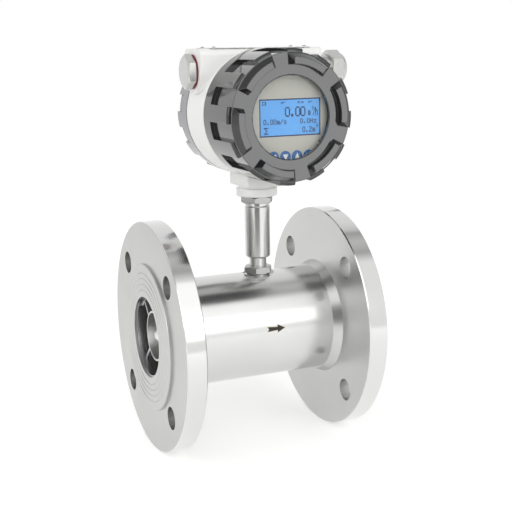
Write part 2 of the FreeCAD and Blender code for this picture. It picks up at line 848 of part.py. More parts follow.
def add_grip(body, name, face, direction, first_recess, recess_end):
    """Recesses round the rim and six raised grip bars on the cover's face.

    face is the place of the face along Y and direction is the way that it looks."""
    # the sketch plane's normal is -Y, so a plane at y has offset -y
    outward = 1 if direction < 0 else -1
    half = sizes.recess_angle / 2
    rim = sketch_on(body, f"{name}_recess_outline", "XZ_Plane", -face,
                    sector(sizes.recess_radius, sizes.drum_radius + 4, half.value, first_recess))
    depth = (recess_end - face) if direction < 0 else (face - recess_end)
    recess = pocket(body, f"{name}_recess", rim, depth, reverse=direction > 0)
    round_pattern(body, f"{name}_recesses", recess, rim, 12)
    foot = sketch_on(body, f"{name}_grip_foot", "XZ_Plane", -face - 0.4 * outward,
                     sector(sizes.grip_inner, sizes.grip_outer, sizes.grip_half_angle.value, first_recess))
    crown = sketch_on(body, f"{name}_grip_crown", "XZ_Plane", -face + sizes.grip_height * outward,
                      sector(sizes.grip_top_inner, sizes.grip_top_outer,
                             sizes.grip_top_half_angle.value, first_recess))
    grip = body.newObject("PartDesign::AdditiveLoft", f"{name}_grip")
    grip.Profile = foot
    grip.Sections = [(crown, [""])]
    grip.Ruled = True
    body.Tip = grip
    round_pattern(body, f"{name}_grips", grip, foot, 6)


def make_front_cover():
    """Screwed cover with the window: rebates for glass and ring inside, grips outside."""
    rear_edge = sizes.drum_front - sizes.cover_gap
    groove_in = sizes.oring_centre_radius - sizes.oring_radius - 0.3
    groove_out = sizes.oring_centre_radius + sizes.oring_radius + 0.3
    groove_depth = sizes.oring_radius * 2 - sizes.cover_gap + 0.3
    lip_rear = sizes.cover_front + sizes.window_lip
    body = turned("front_cover", "Y", [
        (rear_edge, sizes.cover_bore_radius),
        (rear_edge, groove_in),
        (rear_edge - groove_depth, groove_in),
        (rear_edge - groove_depth, groove_out),
        (rear_edge, groove_out),
        (rear_edge, sizes.drum_radius - 0.4),
        (rear_edge - 0.4, sizes.drum_radius),
        (sizes.cover_front + sizes.cover_corner, sizes.drum_radius),
        (sizes.cover_front, sizes.drum_radius - sizes.cover_corner, sizes.cover_corner),
        (sizes.cover_front, sizes.window_radius + 0.6),
        (sizes.cover_front + 0.6, sizes.window_radius),
        (lip_rear, sizes.window_radius),
        (lip_rear, sizes.glass_radius + 0.1),
        (sizes.glass_rear, sizes.glass_radius + 0.1),
        (sizes.glass_rear, sizes.ring_radius + 0.1),
        (sizes.cover_wall_inner, sizes.ring_radius + 0.1),
        (sizes.cover_wall_inner, sizes.cover_inner_radius),
        (sizes.front_neck_end - 1.5, sizes.cover_inner_radius),
        (sizes.front_neck_end - 1.5, sizes.cover_bore_radius),
    ])
    add_grip(body, "front", sizes.cover_front, -1, 11, sizes.recess_rear)
    head_place(body)
    node("front_cover", body)
    node("window_seal", head_turned("window_seal", ring_section(
        lip_rear, lip_rear + 0.6, sizes.window_radius + 0.6, sizes.glass_radius)))
    node("window_glass", cylinder_in_head("window_glass", sizes.glass_radius, lip_rear + 0.6,
                                          sizes.glass_rear))
    node("window_ring", head_turned("window_ring", ring_section(
        sizes.glass_rear, sizes.glass_rear + 0.9, sizes.ring_inner, sizes.ring_radius)))


def cylinder_in_head(name, radius, start, end):
    obj = doc.addObject("Part::Cylinder", name)
    bind(obj, "Radius", radius)
    bind(obj, "Height", as_size(end) - start)
    return place(obj, (sizes.meter_centre, start, sizes.head_height), ALONG_Y)


def make_rear_cover():
    """Screwed blind cover with the same grips."""
    front_edge = sizes.drum_rear + sizes.cover_gap
    groove_in = sizes.oring_centre_radius - sizes.oring_radius - 0.3
    groove_out = sizes.oring_centre_radius + sizes.oring_radius + 0.3
    groove_depth = sizes.oring_radius * 2 - sizes.cover_gap + 0.3
    body = turned("rear_cover", "Y", [
        (sizes.cover_rear - 4.5, 0),
        (sizes.cover_rear - 4.5, sizes.cover_inner_radius),
        (sizes.rear_neck_end + 1.5, sizes.cover_inner_radius),
        (sizes.rear_neck_end + 1.5, sizes.cover_bore_radius),
        (front_edge, sizes.cover_bore_radius),
        (front_edge, groove_in),
        (front_edge + groove_depth, groove_in),
        (front_edge + groove_depth, groove_out),
        (front_edge, groove_out),
        (front_edge, sizes.drum_radius - 0.4),
        (front_edge + 0.4, sizes.drum_radius),
        (sizes.cover_rear - sizes.cover_corner, sizes.drum_radius),
        (sizes.cover_rear, sizes.drum_radius - sizes.cover_corner, sizes.cover_corner),
        (sizes.cover_rear, 0),
    ])
    add_grip(body, "rear", sizes.cover_rear, 1, 21, sizes.rear_recess_front)
    head_place(body)
    node("rear_cover", body)


def make_oring(name, middle):
    ring = doc.addObject("Part::Torus", name)
    bind(ring, "Radius1", sizes.oring_centre_radius)
    bind(ring, "Radius2", sizes.oring_radius)
    place(ring, (sizes.meter_centre, middle, sizes.head_height), ALONG_Y)
    node(name, ring)


# Display stack

def in_head(x, y, z):
    return (sizes.meter_centre + x, y, sizes.head_height + z)


def make_face_panel():
    rear = sizes.panel_front + sizes.panel_thick
    disc = cylinder_in_head("panel_disc", sizes.panel_radius, sizes.panel_front, rear)
    window = box("panel_window", sizes.lcd_width, 4, sizes.lcd_height,
                 in_head(sizes.lcd_x, sizes.panel_front - 1, sizes.lcd_z - sizes.lcd_height / 2))
    cuts = [window]
    for k in range(4):
        x, z = key_spot(k)
        cuts.append(cylinder(f"panel_key_hole_{k + 1}", sizes.key_hole_radius, 4,
                             in_head(x, sizes.panel_front - 1, z), ALONG_Y))
    for k, (x, z) in enumerate(post_spots()):
        cuts.append(cylinder(f"panel_screw_hole_{k + 1}", 1.2, 4,
                             in_head(x, sizes.panel_front - 1, z), ALONG_Y))
        cuts.append(countersink(f"panel_countersink_{k + 1}", x, z, 0.1))
    node("face_panel", cut("face_panel", disc, fuse("panel_cuts", cuts)))


def countersink(name, x, z, extra):
    """Cone for a countersunk head, flush with the panel."""
    cone = doc.addObject("Part::Cone", name)
    cone.Radius1 = 2.3 + extra
    cone.Radius2 = 1.1 + extra
    cone.Height = 1.2
    return place(cone, in_head(x, sizes.panel_front, z), ALONG_Y)


def key_spot(k):
    return sizes.key_x + sizes.key_pitch * (k - 1.5), sizes.key_z


def post_spots():
    spots = []
    for angle in (90, 215, 325):
        turn_angle = math.radians(angle)
        spots.append((sizes.post_circle * math.cos(turn_angle), sizes.post_circle * math.sin(turn_angle)))
    return spots


def make_lcd():
    rear = sizes.panel_front + sizes.panel_thick
    pane = box("lcd_pane", sizes.lcd_width - 0.2, 1.6, sizes.lcd_height - 0.2,
               in_head(sizes.lcd_x, sizes.panel_front + 0.3, sizes.lcd_z - sizes.lcd_height / 2 + 0.1))
    frame = box("lcd_case", sizes.lcd_width + sizes.lcd_frame, sizes.display_board_front - rear,
                sizes.lcd_height + sizes.lcd_frame,
                in_head(sizes.lcd_x, rear, sizes.lcd_z - (sizes.lcd_height + sizes.lcd_frame) / 2))
    node("lcd_module", fuse("lcd_module", [pane, frame]))


def make_boards():
    front = sizes.display_board_front
    disc = cylinder_in_head("display_card", sizes.board_radius, front, front + sizes.board_thick)
    node("display_board", disc)
    front = sizes.main_board_front
    card = cylinder_in_head("main_card", sizes.board_radius, front, front + sizes.board_thick)
    pieces = [card]
    for k, (x, z, length, height, thick) in enumerate((
            (-12, 4, 14, 14, 2.0), (12, 8, 10, 18, 2.4), (8, -18, 22, 9, 7.0), (-16, -16, 9, 9, 9.0))):
        pieces.append(box(f"main_part_{k + 1}", length, thick + 0.4, height,
                          in_head(x, front - thick, z - height / 2)))
    node("main_board", fuse("main_board", pieces))


def make_posts(name, start, end):
    posts = []
    for k, (x, z) in enumerate(post_spots()):
        posts.append(hexagon(f"{name}_{k + 1}", sizes.post_radius, as_size(end) - start,
                             in_head(x, start, z), ALONG_Y))
    node(name, group(name, posts))


def make_panel_screws():
    screws = []
    for k, (x, z) in enumerate(post_spots()):
        head = countersink(f"panel_screw_head_{k + 1}", x, z, 0)
        shank = cylinder(f"panel_screw_shank_{k + 1}", 1.1, sizes.panel_thick - 0.02,
                         in_head(x, sizes.panel_front, z), ALONG_Y)
        screws.append(fuse(f"panel_screw_{k + 1}", [head, shank]))
    node("panel_screws", group("panel_screws", screws))


def make_keys():
    rear = sizes.panel_front + sizes.panel_thick
    front = sizes.panel_front - sizes.key_proud
    switches = []
    for k, name in enumerate(("key_left", "key_down", "key_up", "key_right")):
        x, z = key_spot(k)
        points = [
            (front, 0), (front, sizes.key_radius - 0.3), (front + 0.3, sizes.key_radius),
            (rear + 0.1, sizes.key_radius), (rear + 0.1, sizes.key_flange_radius),
            (rear + 0.5, sizes.key_flange_radius), (rear + 0.5, 0),
        ]
        body = turned(name, "Y", points)
        place(body, in_head(x, 0, z))
        node(name, body)
        switches.append(box(f"switch_{k + 1}", 6, sizes.display_board_front - rear - 1.1, 6,
                            in_head(x, rear + 1.1, z - 3)))
    node("key_switches", group("key_switches", switches))


# Rear chamber

def make_terminals():
    wall = sizes.wall_rear
    block = box("terminal_base", 46, 13, 15, in_head(0, wall, -14))
    slots = []
    screws = []
    for k in range(6):
        x = -18.75 + 7.5 * k
        slots.append(box(f"terminal_slot_{k + 1}", 5.5, 6, 5, in_head(x, wall + 5, -15)))
        slots.append(cylinder(f"terminal_screw_hole_{k + 1}", 2.3, 3, in_head(x, wall + 11, -5), ALONG_Y))
        screw = cylinder(f"terminal_screw_{k + 1}_body", 2.1, 1.8, in_head(x, wall + 11, -5), ALONG_Y)
        slot = box(f"terminal_screw_{k + 1}_slot", 5, 1, 0.8, in_head(x, wall + 12.2, -5.4))
        screws.append(cut(f"terminal_screw_{k + 1}", screw, slot))
    node("terminal_block", cut("terminal_block", block, fuse("terminal_cuts", slots)))
    node("terminal_screws", group("terminal_screws", screws))
    node("wire_feedthrough", cylinder("wire_feedthrough", 5, 6, in_head(0, sizes.wall_front - 1, -28),
                                      ALONG_Y))
    head = cylinder("earth_screw_head", 4, 3, in_head(26, wall, 12), ALONG_Y)
    slot = box("earth_screw_slot", 9, 1.5, 1.2, in_head(26, wall + 2, 11.4))
    node("earth_screw", cut("earth_screw", head, slot))


# Cable entries

def entry_spot(x):
    return in_head(x, sizes.boss_middle, sizes.boss_height)


def entry_turned(name, points):
    body = turned(name, "X", points)
    place(body, entry_spot(0))
    return body


def make_plug():
    face = -sizes.boss_reach - sizes.plug_seal
    end = face - sizes.plug_head
    flat = sizes.plug_corner * math.cos(math.radians(30))
    head = hexagon("plug_hexagon", sizes.plug_corner, sizes.plug_head, entry_spot(end), ALONG_X)
    limits = entry_turned("plug_head_turned", [
        (end, 0), (end, flat - 0.6), (end + 1.5, sizes.plug_corner + 0.4),
        (face - 0.8, sizes.plug_corner + 0.4), (face, flat - 0.1), (face, 0),
    ])
    thread = sizes.entry_thread_radius
    inner = face + sizes.entry_thread_length
    shank = entry_turned("plug_shank", [
        (face - 1, 0), (face - 1, thread), (inner - 1, thread), (inner, thread - 1), (inner, 0),
    ])
    node("blanking_plug", fuse("blanking_plug", [common("plug_head", head, limits), shank]))
    node("plug_seal", entry_turned("plug_seal", ring_section(
        face, -sizes.boss_reach, thread + 0.05, flat + 1.2)))


def make_gland():
    boss = sizes.boss_reach
    seat = boss + 1
    hex_end = seat + sizes.gland_hex_length
    thread = sizes.entry_thread_radius
    bore = sizes.gland_bore_radius
    node("gland_gasket", entry_turned("gland_gasket", ring_section(boss, seat, thread + 0.05, 13.2)))
    flat = sizes.plug_corner * math.cos(math.radians(30))
    prism = hexagon("gland_hexagon", sizes.plug_corner, sizes.gland_hex_length, entry_spot(seat), ALONG_X)
    limits = entry_turned("gland_hexagon_turned", [
        (seat, 0), (seat, flat - 0.2), (seat + 1.2, sizes.plug_corner + 0.4),
        (hex_end - 1.2, sizes.plug_corner + 0.4), (hex_end, flat - 0.2), (hex_end, 0),
    ])
    barrel = entry_turned("gland_barrel", [
        (seat - sizes.entry_thread_length, 0),
        (seat - sizes.entry_thread_length, thread - 1),
        (seat - sizes.entry_thread_length + 1, thread),
        (seat + 1, thread),
        (seat + 1, sizes.gland_barrel_radius),
        (sizes.gland_barrel_end, sizes.gland_barrel_radius),
        (sizes.gland_barrel_end, 0),
    ])
    hollow = entry_turned("gland_hollow", [
        (seat - sizes.entry_thread_length - 1, 0),
        (seat - sizes.entry_thread_length - 1, bore - 1.4),
        (boss + 7, bore - 1.4),
        (boss + 7, bore),
        (sizes.gland_barrel_end + 1, bore),
        (sizes.gland_barrel_end + 1, 0),
    ])
    solid = fuse("gland_solid", [common("gland_head", prism, limits), barrel])
    node("gland_body", cut("gland_body", solid, hollow))
    node("gland_insert", entry_turned("gland_insert", [
        (boss + 7.1, sizes.cable_radius), (sizes.gland_barrel_end + 1.4, sizes.cable_radius),
        (sizes.gland_barrel_end + 1.4, bore - 0.8), (sizes.gland_barrel_end, bore - 0.05),
        (boss + 7.1, bore - 0.05),
    ]))
    slip = sizes.gland_barrel_end + 1.6
    node("gland_slip_ring", entry_turned("gland_slip_ring", ring_section(
        slip, slip + 0.8, sizes.cable_radius + 0.8, sizes.gland_barrel_radius - 1)))
    start = sizes.gland_nut_start
    end = sizes.gland_nut_end
    across = sizes.gland_nut_corner * math.cos(math.radians(30))
    nut_prism = hexagon("gland_nut_hexagon", sizes.gland_nut_corner, end - start, entry_spot(start), ALONG_X)
    nut_limits = entry_turned("gland_nut_turned", [
        (start, sizes.gland_barrel_radius + sizes.thread_clearance),
        (start, across - 0.3),
        (start + 1, sizes.gland_nut_radius),
        (end - 5, sizes.gland_nut_radius),
        (end - 5, across - 0.8),
        (end - 2.5, across - 1.6),
        (end, across - 4.5, 4.2),
        (end, sizes.cable_radius + 0.8),
        (slip + 1, sizes.cable_radius + 0.8),
        (slip + 1, sizes.gland_barrel_radius + sizes.thread_clearance),
    ])
    node("gland_nut", common("gland_nut", nut_prism, nut_limits))


# Name plate

def make_name_plate():
    top = sizes.boss_height + sizes.boss_radius
    plate = box("plate_sheet", sizes.plate_length, sizes.plate_width, sizes.plate_thick,
                in_head(0, sizes.boss_middle - sizes.plate_width / 2, top))
    rivets = []
    holes = []
    for k, (sx, sy) in enumerate(((-1, -1), (1, -1), (-1, 1), (1, 1))):
        x = sizes.rivet_x * sx
        y = sizes.boss_middle + sizes.rivet_y * sy
        holes.append(cylinder(f"plate_hole_{k + 1}", 1.0, 2, in_head(x, y, top - 0.5)))
        head = doc.addObject("Part::Cone", f"rivet_head_{k + 1}")
        bind(head, "Radius1", sizes.rivet_radius)
        bind(head, "Radius2", sizes.rivet_radius - 0.7)
        head.Height = 0.9
        place(head, in_head(x, y, top + sizes.plate_thick))
        shank = cylinder(f"rivet_shank_{k + 1}", 1.0, sizes.plate_thick + 0.2, in_head(x, y, top))
        rivets.append(fuse(f"rivet_{k + 1}", [head, shank]))
    node("name_plate", cut("name_plate", plate, fuse("plate_holes", holes)))
    node("plate_rivets", group("plate_rivets", rivets))


def make_pipe_run():
    start = -sizes.raised_height
    end = start + sizes.face_to_face
    make_body_tube()
    make_flange("inlet_flange", (start, 0, 0), ALONG_Z)
    make_flange("outlet_flange", (end, 0, 0), turn((0, 0, 1), 180))
    make_snap_ring("inlet_snap_ring", start + sizes.snap_groove_start + 0.2)
    make_snap_ring("outlet_snap_ring", end - sizes.snap_groove_end)
    make_guide("inlet", start + sizes.snap_groove_end, sizes.inlet_guide_end, 1)
    make_guide("outlet", end - sizes.snap_groove_end, sizes.outlet_guide_start, -1)
    make_bearings()
    make_rotor()
    make_shaft()


def make_stem():
    make_pickup_body()
    make_nut("pickup_lock_nut", sizes.lock_nut_corner, sizes.seat_height, sizes.lock_nut_top,
             sizes.pickup_neck_radius + sizes.thread_clearance, 1.2)
    make_nut("head_lock_nut", sizes.jam_nut_corner, sizes.spigot_shoulder + 0.1, sizes.jam_nut_top,
             sizes.spigot_radius + sizes.thread_clearance, 0)
    make_coil_set()


def make_head():
    make_head_housing()
    make_front_cover()
    make_rear_cover()
    make_oring("front_oring", sizes.drum_front - sizes.oring_radius)
    make_oring("rear_oring", sizes.drum_rear + sizes.oring_radius)
    make_face_panel()
    make_lcd()
    make_boards()
    rear = sizes.panel_front + sizes.panel_thick
    make_posts("main_standoffs", sizes.main_board_front + sizes.board_thick, sizes.wall_front)
    make_posts("display_standoffs", sizes.display_board_front + sizes.board_thick, sizes.main_board_front)
    make_posts("panel_spacers", rear, sizes.display_board_front)
    make_panel_screws()
    make_keys()
    make_terminals()
    make_plug()
    make_gland()
    make_name_plate()


def check_document():
    doc.recompute()
    bad = [obj.Name for obj in doc.Objects if {"Invalid", "Error"} & set(obj.State)]
    for name, obj in nodes.items():
        shape = obj.Shape
        if shape.isNull() or not shape.isValid() or not shape.Solids:
            bad.append(name)
    if bad:
        raise RuntimeError(f"not built: {bad}")


def write_parts():
    os.makedirs("parts", exist_ok=True)
    for name, obj in nodes.items():
        obj.Shape.exportStep(f"parts/{name}.step")
        solids = len(obj.Shape.Solids)
        print(f"{name}: {solids} solid(s), {obj.Shape.Volume:.0f} mm3")


make_pipe_run()
make_stem()
make_head()
check_document()
write_parts()
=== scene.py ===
import math
import re
import bpy
import bmesh
from mathutils import Matrix, Vector


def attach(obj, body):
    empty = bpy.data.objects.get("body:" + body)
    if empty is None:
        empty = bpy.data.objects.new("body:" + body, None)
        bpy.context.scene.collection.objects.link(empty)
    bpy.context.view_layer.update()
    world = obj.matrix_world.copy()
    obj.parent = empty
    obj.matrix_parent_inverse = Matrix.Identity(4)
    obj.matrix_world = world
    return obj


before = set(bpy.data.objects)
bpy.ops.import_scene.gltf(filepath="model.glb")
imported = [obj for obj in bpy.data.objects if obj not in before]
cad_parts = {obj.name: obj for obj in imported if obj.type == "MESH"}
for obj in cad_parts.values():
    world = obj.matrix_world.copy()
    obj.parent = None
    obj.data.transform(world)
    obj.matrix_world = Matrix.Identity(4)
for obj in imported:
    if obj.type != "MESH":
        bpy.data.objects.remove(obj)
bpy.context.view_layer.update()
print("frame loaded:", len(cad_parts), "nodes")

mm = 0.001

# places that come from the CAD, in metres
meterX = 0.096          # stem and head stand over this point of the pipe
drumZ = 0.174           # centre line of the display head
panelY = -0.0589        # front of the face panel
tubeRadius = 0.0435
printLift = 0.03 * mm   # ink stands this far off its surface


# small helpers for materials

def linear(hexCode):
    # sRGB hex, as a picture editor shows it, to Blender's linear colour
    channels = [int(hexCode[i:i + 2], 16) / 255 for i in (1, 3, 5)]
    curve = [c / 12.92 if c <= 0.04045 else ((c + 0.055) / 1.055) ** 2.4 for c in channels]
    return (*curve, 1.0)


def addNode(tree, kind, settings=None, links=None):
    # a node with its settings and what is plugged into it
    node = tree.nodes.new(kind)
    for key, value in (settings or {}).items():
        if isinstance(key, int) or key in node.inputs.keys():
            node.inputs[key].default_value = value
        else:
            setattr(node, key, value)
    for key, source in (links or {}).items():
        tree.links.new(source, node.inputs[key])
    return node


def newMaterial(name, shader):
    material = bpy.data.materials.new(name)
    material.use_nodes = True
    tree = material.node_tree
    principled = tree.nodes["Principled BSDF"]
    for key, value in shader.items():
        principled.inputs[key].default_value = value
    return material, tree, principled


def unevenTone(tree, principled, place, look):
    # slow change of tone and gloss over the surface, as handling and wear leave it
    cloud = addNode(tree, "ShaderNodeTexNoise",
                    {"Scale": 1 / look["patch"], "Detail": 4.0, "Roughness": 0.6}, {"Vector": place})
    tone = addNode(tree, "ShaderNodeMix", {"data_type": "RGBA"}, {0: cloud.outputs["Fac"]})
    tone.inputs[6].default_value = linear(look["colour"])
    tone.inputs[7].default_value = linear(look["darker"])
    tree.links.new(tone.outputs[2], principled.inputs["Base Color"])
    gloss = addNode(tree, "ShaderNodeMapRange",
                    {"To Min": look["roughness"][0], "To Max": look["roughness"][1]},
                    {"Value": cloud.outputs["Fac"]})
    tree.links.new(gloss.outputs["Result"], principled.inputs["Roughness"])
    return tone


def distanceFromAxis(tree, place, keep):
    # keep is 0 for the axis and 1 for the two directions across it
    flat = addNode(tree, "ShaderNodeVectorMath", {"operation": "MULTIPLY"}, {0: place})
    flat.inputs[1].default_value = keep
    reach = addNode(tree, "ShaderNodeVectorMath", {"operation": "LENGTH"}, {0: flat.outputs[0]})
    return reach.outputs["Value"]


def alongLines(tree, place, axis, spacing):
    # fine marks round a turned cylinder: only the place along the axis counts
    split = addNode(tree, "ShaderNodeSeparateXYZ", None, {"Vector": place})
    lines = addNode(tree, "ShaderNodeTexNoise",
                    {"noise_dimensions": "1D", "Scale": 1 / spacing, "Detail": 3.0},
                    {"W": split.outputs[axis]})
    return lines.outputs["Fac"]


# stainless tube, turned and then polished: it mirrors the room in soft streaks along itself
polishedTube = {
    "colour": "#DCDCDB",
    "darker": "#D4D4D3",
    "roughness": (0.19, 0.25),
    "patch": 30 * mm,
    "markSpacing": 0.7 * mm,     # real marks are finer, drawn as coarse as the picture can show
    "markDepth": 0.004 * mm,
}


def makePolishedTube(name, look, axis):
    material, tree, principled = newMaterial(name, {"Metallic": 1.0})
    place = addNode(tree, "ShaderNodeTexCoord").outputs["Object"]
    unevenTone(tree, principled, place, look)
    marks = alongLines(tree, place, axis, look["markSpacing"])
    bump = addNode(tree, "ShaderNodeBump", {"Distance": look["markDepth"]}, {"Height": marks})
    tree.links.new(bump.outputs["Normal"], principled.inputs["Normal"])
    return material


# stainless flanges, faced on a lathe: satin faces with rings about the bore, and a bright rim
facedFlange = {
    "colour": "#CFCFCE",
    "darker": "#C8C8C7",
    "roughness": (0.27, 0.36),
    "patch": 45 * mm,
    "ringSpacing": 0.8 * mm,     # feed marks, drawn wider than the real 0.2 mm
    "ringDepth": 0.012 * mm,
    "rimFrom": 92.0 * mm,        # the rim's own radius is 92.5 mm
    "rimRoughness": 0.12,
    "rimColour": "#DADAD9",
}


def makeFacedFlange(name, look):
    material, tree, principled = newMaterial(name, {"Metallic": 1.0})
    place = addNode(tree, "ShaderNodeTexCoord").outputs["Object"]
    unevenTone(tree, principled, place, look)
    # rings about the bore, as a lathe tool leaves them
    reach = distanceFromAxis(tree, place, (0, 1, 1))
    rings = addNode(tree, "ShaderNodeTexNoise",
                    {"noise_dimensions": "1D", "Scale": 1 / look["ringSpacing"], "Detail": 2.0},
                    {"W": reach})
    feed = alongLines(tree, place, "X", look["ringSpacing"])
    both = addNode(tree, "ShaderNodeMath", {"operation": "ADD"},
                   {0: rings.outputs["Fac"], 1: feed})
    bump = addNode(tree, "ShaderNodeBump", {"Distance": look["ringDepth"]}, {"Height": both.outputs[0]})
    tree.links.new(bump.outputs["Normal"], principled.inputs["Normal"])
    # the rim is polished, the faces stay satin
    rim = addNode(tree, "ShaderNodeMath", {"operation": "GREATER_THAN", 1: look["rimFrom"]},
                  {0: reach})
    gloss = addNode(tree, "ShaderNodeMix", {"data_type": "FLOAT", 3: look["rimRoughness"]},
                    {0: rim.outputs[0], 2: principled.inputs["Roughness"].links[0].from_socket})
    tree.links.new(gloss.outputs[0], principled.inputs["Roughness"])
    tone = addNode(tree, "ShaderNodeMix", {"data_type": "RGBA", 7: linear(look["rimColour"])},
                   {0: rim.outputs[0], 6: principled.inputs["Base Color"].links[0].from_socket})
    tree.links.new(tone.outputs[2], principled.inputs["Base Color"])
    return material


# smaller metal pieces. The grain is drawn at 0.3 to 0.8 mm, because the real one is too fine to show,
# and edge is the radius that rounds an edge, so that it catches light as a deburred one does
plainMetals = {
    # turned hexagon bar: satin facets with bright edges
    "bright nut steel": {"colour": "#BDBDBC", "darker": "#B0B0AF", "roughness": (0.26, 0.34),
                         "patch": 6 * mm, "grain": 0.5 * mm, "depth": 0.004 * mm, "edge": 0.35 * mm},
    # bent and welded sheet: pale and matt, seen down the dark bore
    "satin guide sheet": {"colour": "#EDEDEC", "darker": "#DEDEDD", "roughness": (0.24, 0.34),
                          "patch": 12 * mm, "grain": 0.8 * mm, "depth": 0.008 * mm, "edge": 0.2 * mm},
    # drawn wire and strip: smooth, a little bluish
    "spring steel": {"colour": "#D2D2D4", "darker": "#BEBEC1", "roughness": (0.2, 0.3),
                     "patch": 8 * mm, "grain": 0.6 * mm, "depth": 0.005 * mm, "edge": 0.25 * mm},
    # milled blades: greyer, with softer highlights
    "milled rotor steel": {"colour": "#C2C2C4", "darker": "#AFAFB2", "roughness": (0.22, 0.34),
                           "patch": 9 * mm, "grain": 0.6 * mm, "depth": 0.006 * mm, "edge": 0.2 * mm},
    # sintered carbide, ground: dark and glossy
    "ground hard metal": {"colour": "#6E6E72", "darker": "#606064", "roughness": (0.1, 0.18),
                          "patch": 5 * mm, "grain": 0.4 * mm, "depth": 0.003 * mm, "edge": 0.15 * mm},
    # plated and tumbled: warm, even and fairly bright
    "nickel plated brass": {"colour": "#CDCDCB", "darker": "#C2C2C0", "roughness": (0.16, 0.22),
                            "patch": 10 * mm, "grain": 0.7 * mm, "depth": 0.002 * mm, "edge": 0.4 * mm},
    # plated magnet: bright and smooth
    "nickelled magnet": {"colour": "#B8B8BC", "darker": "#A8A8AC", "roughness": (0.15, 0.22),
                         "patch": 6 * mm, "grain": 0.5 * mm, "depth": 0.003 * mm, "edge": 0.2 * mm},
    # turned bare iron: dull and a little brown
    "soft iron": {"colour": "#8A8886", "darker": "#767472", "roughness": (0.35, 0.5),
                  "patch": 5 * mm, "grain": 0.5 * mm, "depth": 0.006 * mm, "edge": 0.15 * mm},
    # brushed sheet: pale, with a wide soft sheen
    "brushed plate steel": {"colour": "#E2E2E0", "darker": "#D6D6D4", "roughness": (0.36, 0.46),
                            "patch": 15 * mm, "grain": 0.5 * mm, "depth": 0.004 * mm, "edge": 0.2 * mm},
    # oxide blackened: nearly black, so that it drops back behind the window
    "blackened ring steel": {"colour": "#2C2C2E", "darker": "#242426", "roughness": (0.35, 0.45),
                             "patch": 8 * mm, "grain": 0.5 * mm, "depth": 0.004 * mm, "edge": 0.2 * mm},
    # pressed rivet heads: pale with a soft glint
    "rivet aluminium": {"colour": "#C9CACC", "darker": "#B9BABC", "roughness": (0.25, 0.35),
                        "patch": 3 * mm, "grain": 0.4 * mm, "depth": 0.004 * mm, "edge": 0.15 * mm},
    # wound wire under varnish: reddish and glossy, rough from turn to turn
    "enamelled copper wire": {"colour": "#B4622F", "darker": "#98491F", "roughness": (0.2, 0.3),
                              "patch": 4 * mm, "grain": 0.3 * mm, "depth": 0.02 * mm, "edge": 0.1 * mm},
}


def makePlainMetal(name, look):
    material, tree, principled = newMaterial(name, {"Metallic": 1.0})
    place = addNode(tree, "ShaderNodeTexCoord").outputs["Object"]
    unevenTone(tree, principled, place, look)
    grain = addNode(tree, "ShaderNodeTexNoise", {"Scale": 1 / look["grain"], "Detail": 3.0},
                    {"Vector": place})
    edge = addNode(tree, "ShaderNodeBevel", {"samples": 4, "Radius": look["edge"]})
    bump = addNode(tree, "ShaderNodeBump", {"Distance": look["depth"]},
                   {"Height": grain.outputs["Fac"], "Normal": edge.outputs["Normal"]})
    tree.links.new(bump.outputs["Normal"], principled.inputs["Normal"])
    return material


# plastics, rubbers and boards, with the grain of the mould or the weave. The real grain is under
# 0.1 mm and is drawn at 0.3 to 0.6 mm, so that it can show.
# level lowers the sheen of what lies behind the window, which shows no reflections in the photograph
mouldedSkins = {
    # glass filled nylon, moulded: matt black
    "black moulded plastic": {"colour": "#1D1D1F", "darker": "#161618", "roughness": (0.4, 0.5),
                              "patch": 8 * mm, "grain": 0.4 * mm, "depth": 0.01 * mm, "ior": 1.5},
    # moulded polyamide: mid green, half matt
    "green terminal plastic": {"colour": "#3F7F56", "darker": "#366F4A", "roughness": (0.38, 0.48),
                               "patch": 8 * mm, "grain": 0.4 * mm, "depth": 0.01 * mm, "ior": 1.5},
    # solder mask on glass weave: deep green with some gloss
    "green circuit board": {"colour": "#1F6B3C", "darker": "#17552F", "roughness": (0.28, 0.4),
                            "patch": 5 * mm, "grain": 0.6 * mm, "depth": 0.01 * mm, "ior": 1.5},
    # moulded nitrile: black, dull, a little dusty
    "black sealing rubber": {"colour": "#1B1B1B", "darker": "#232322", "roughness": (0.5, 0.65),
                             "patch": 6 * mm, "grain": 0.3 * mm, "depth": 0.01 * mm, "ior": 1.52},
    # pressed fibre: dark red, half matt
    "dark red sealing ring": {"colour": "#7A1422", "darker": "#640E1A", "roughness": (0.35, 0.5),
                              "patch": 4 * mm, "grain": 0.3 * mm, "depth": 0.01 * mm, "ior": 1.5},
    # printed polyester foil: warm grey with a fine matt texture
    "warm grey face foil": {"colour": "#BAB8B0", "darker": "#B3B1AA", "roughness": (0.42, 0.5),
                            "patch": 20 * mm, "grain": 0.35 * mm, "depth": 0.006 * mm, "ior": 1.47,
                            "level": 0.08},
    # moulded silicone: strong blue, soft sheen
    "blue silicone key": {"colour": "#1C67AE", "darker": "#185C9E", "roughness": (0.38, 0.48),
                          "patch": 4 * mm, "grain": 0.3 * mm, "depth": 0.006 * mm, "ior": 1.43,
                          "level": 0.08},
    # screen printed ink: white and matt
    "white key print": {"colour": "#F2F2F0", "darker": "#EAEAE8", "roughness": (0.5, 0.55),
                        "patch": 2 * mm, "grain": 0.3 * mm, "depth": 0.002 * mm, "ior": 1.5,
                        "level": 0.08},
}


def makeMouldedSkin(name, look):
    material, tree, principled = newMaterial(
        name, {"IOR": look["ior"], "Specular IOR Level": look.get("level", 0.5)})
    place = addNode(tree, "ShaderNodeTexCoord").outputs["Object"]
    unevenTone(tree, principled, place, look)
    grain = addNode(tree, "ShaderNodeTexNoise", {"Scale": 1 / look["grain"], "Detail": 2.0},
                    {"Vector": place})
    bump = addNode(tree, "ShaderNodeBump", {"Distance": look["depth"]},
                   {"Height": grain.outputs["Fac"]})
    tree.links.new(bump.outputs["Normal"], principled.inputs["Normal"])
    return material


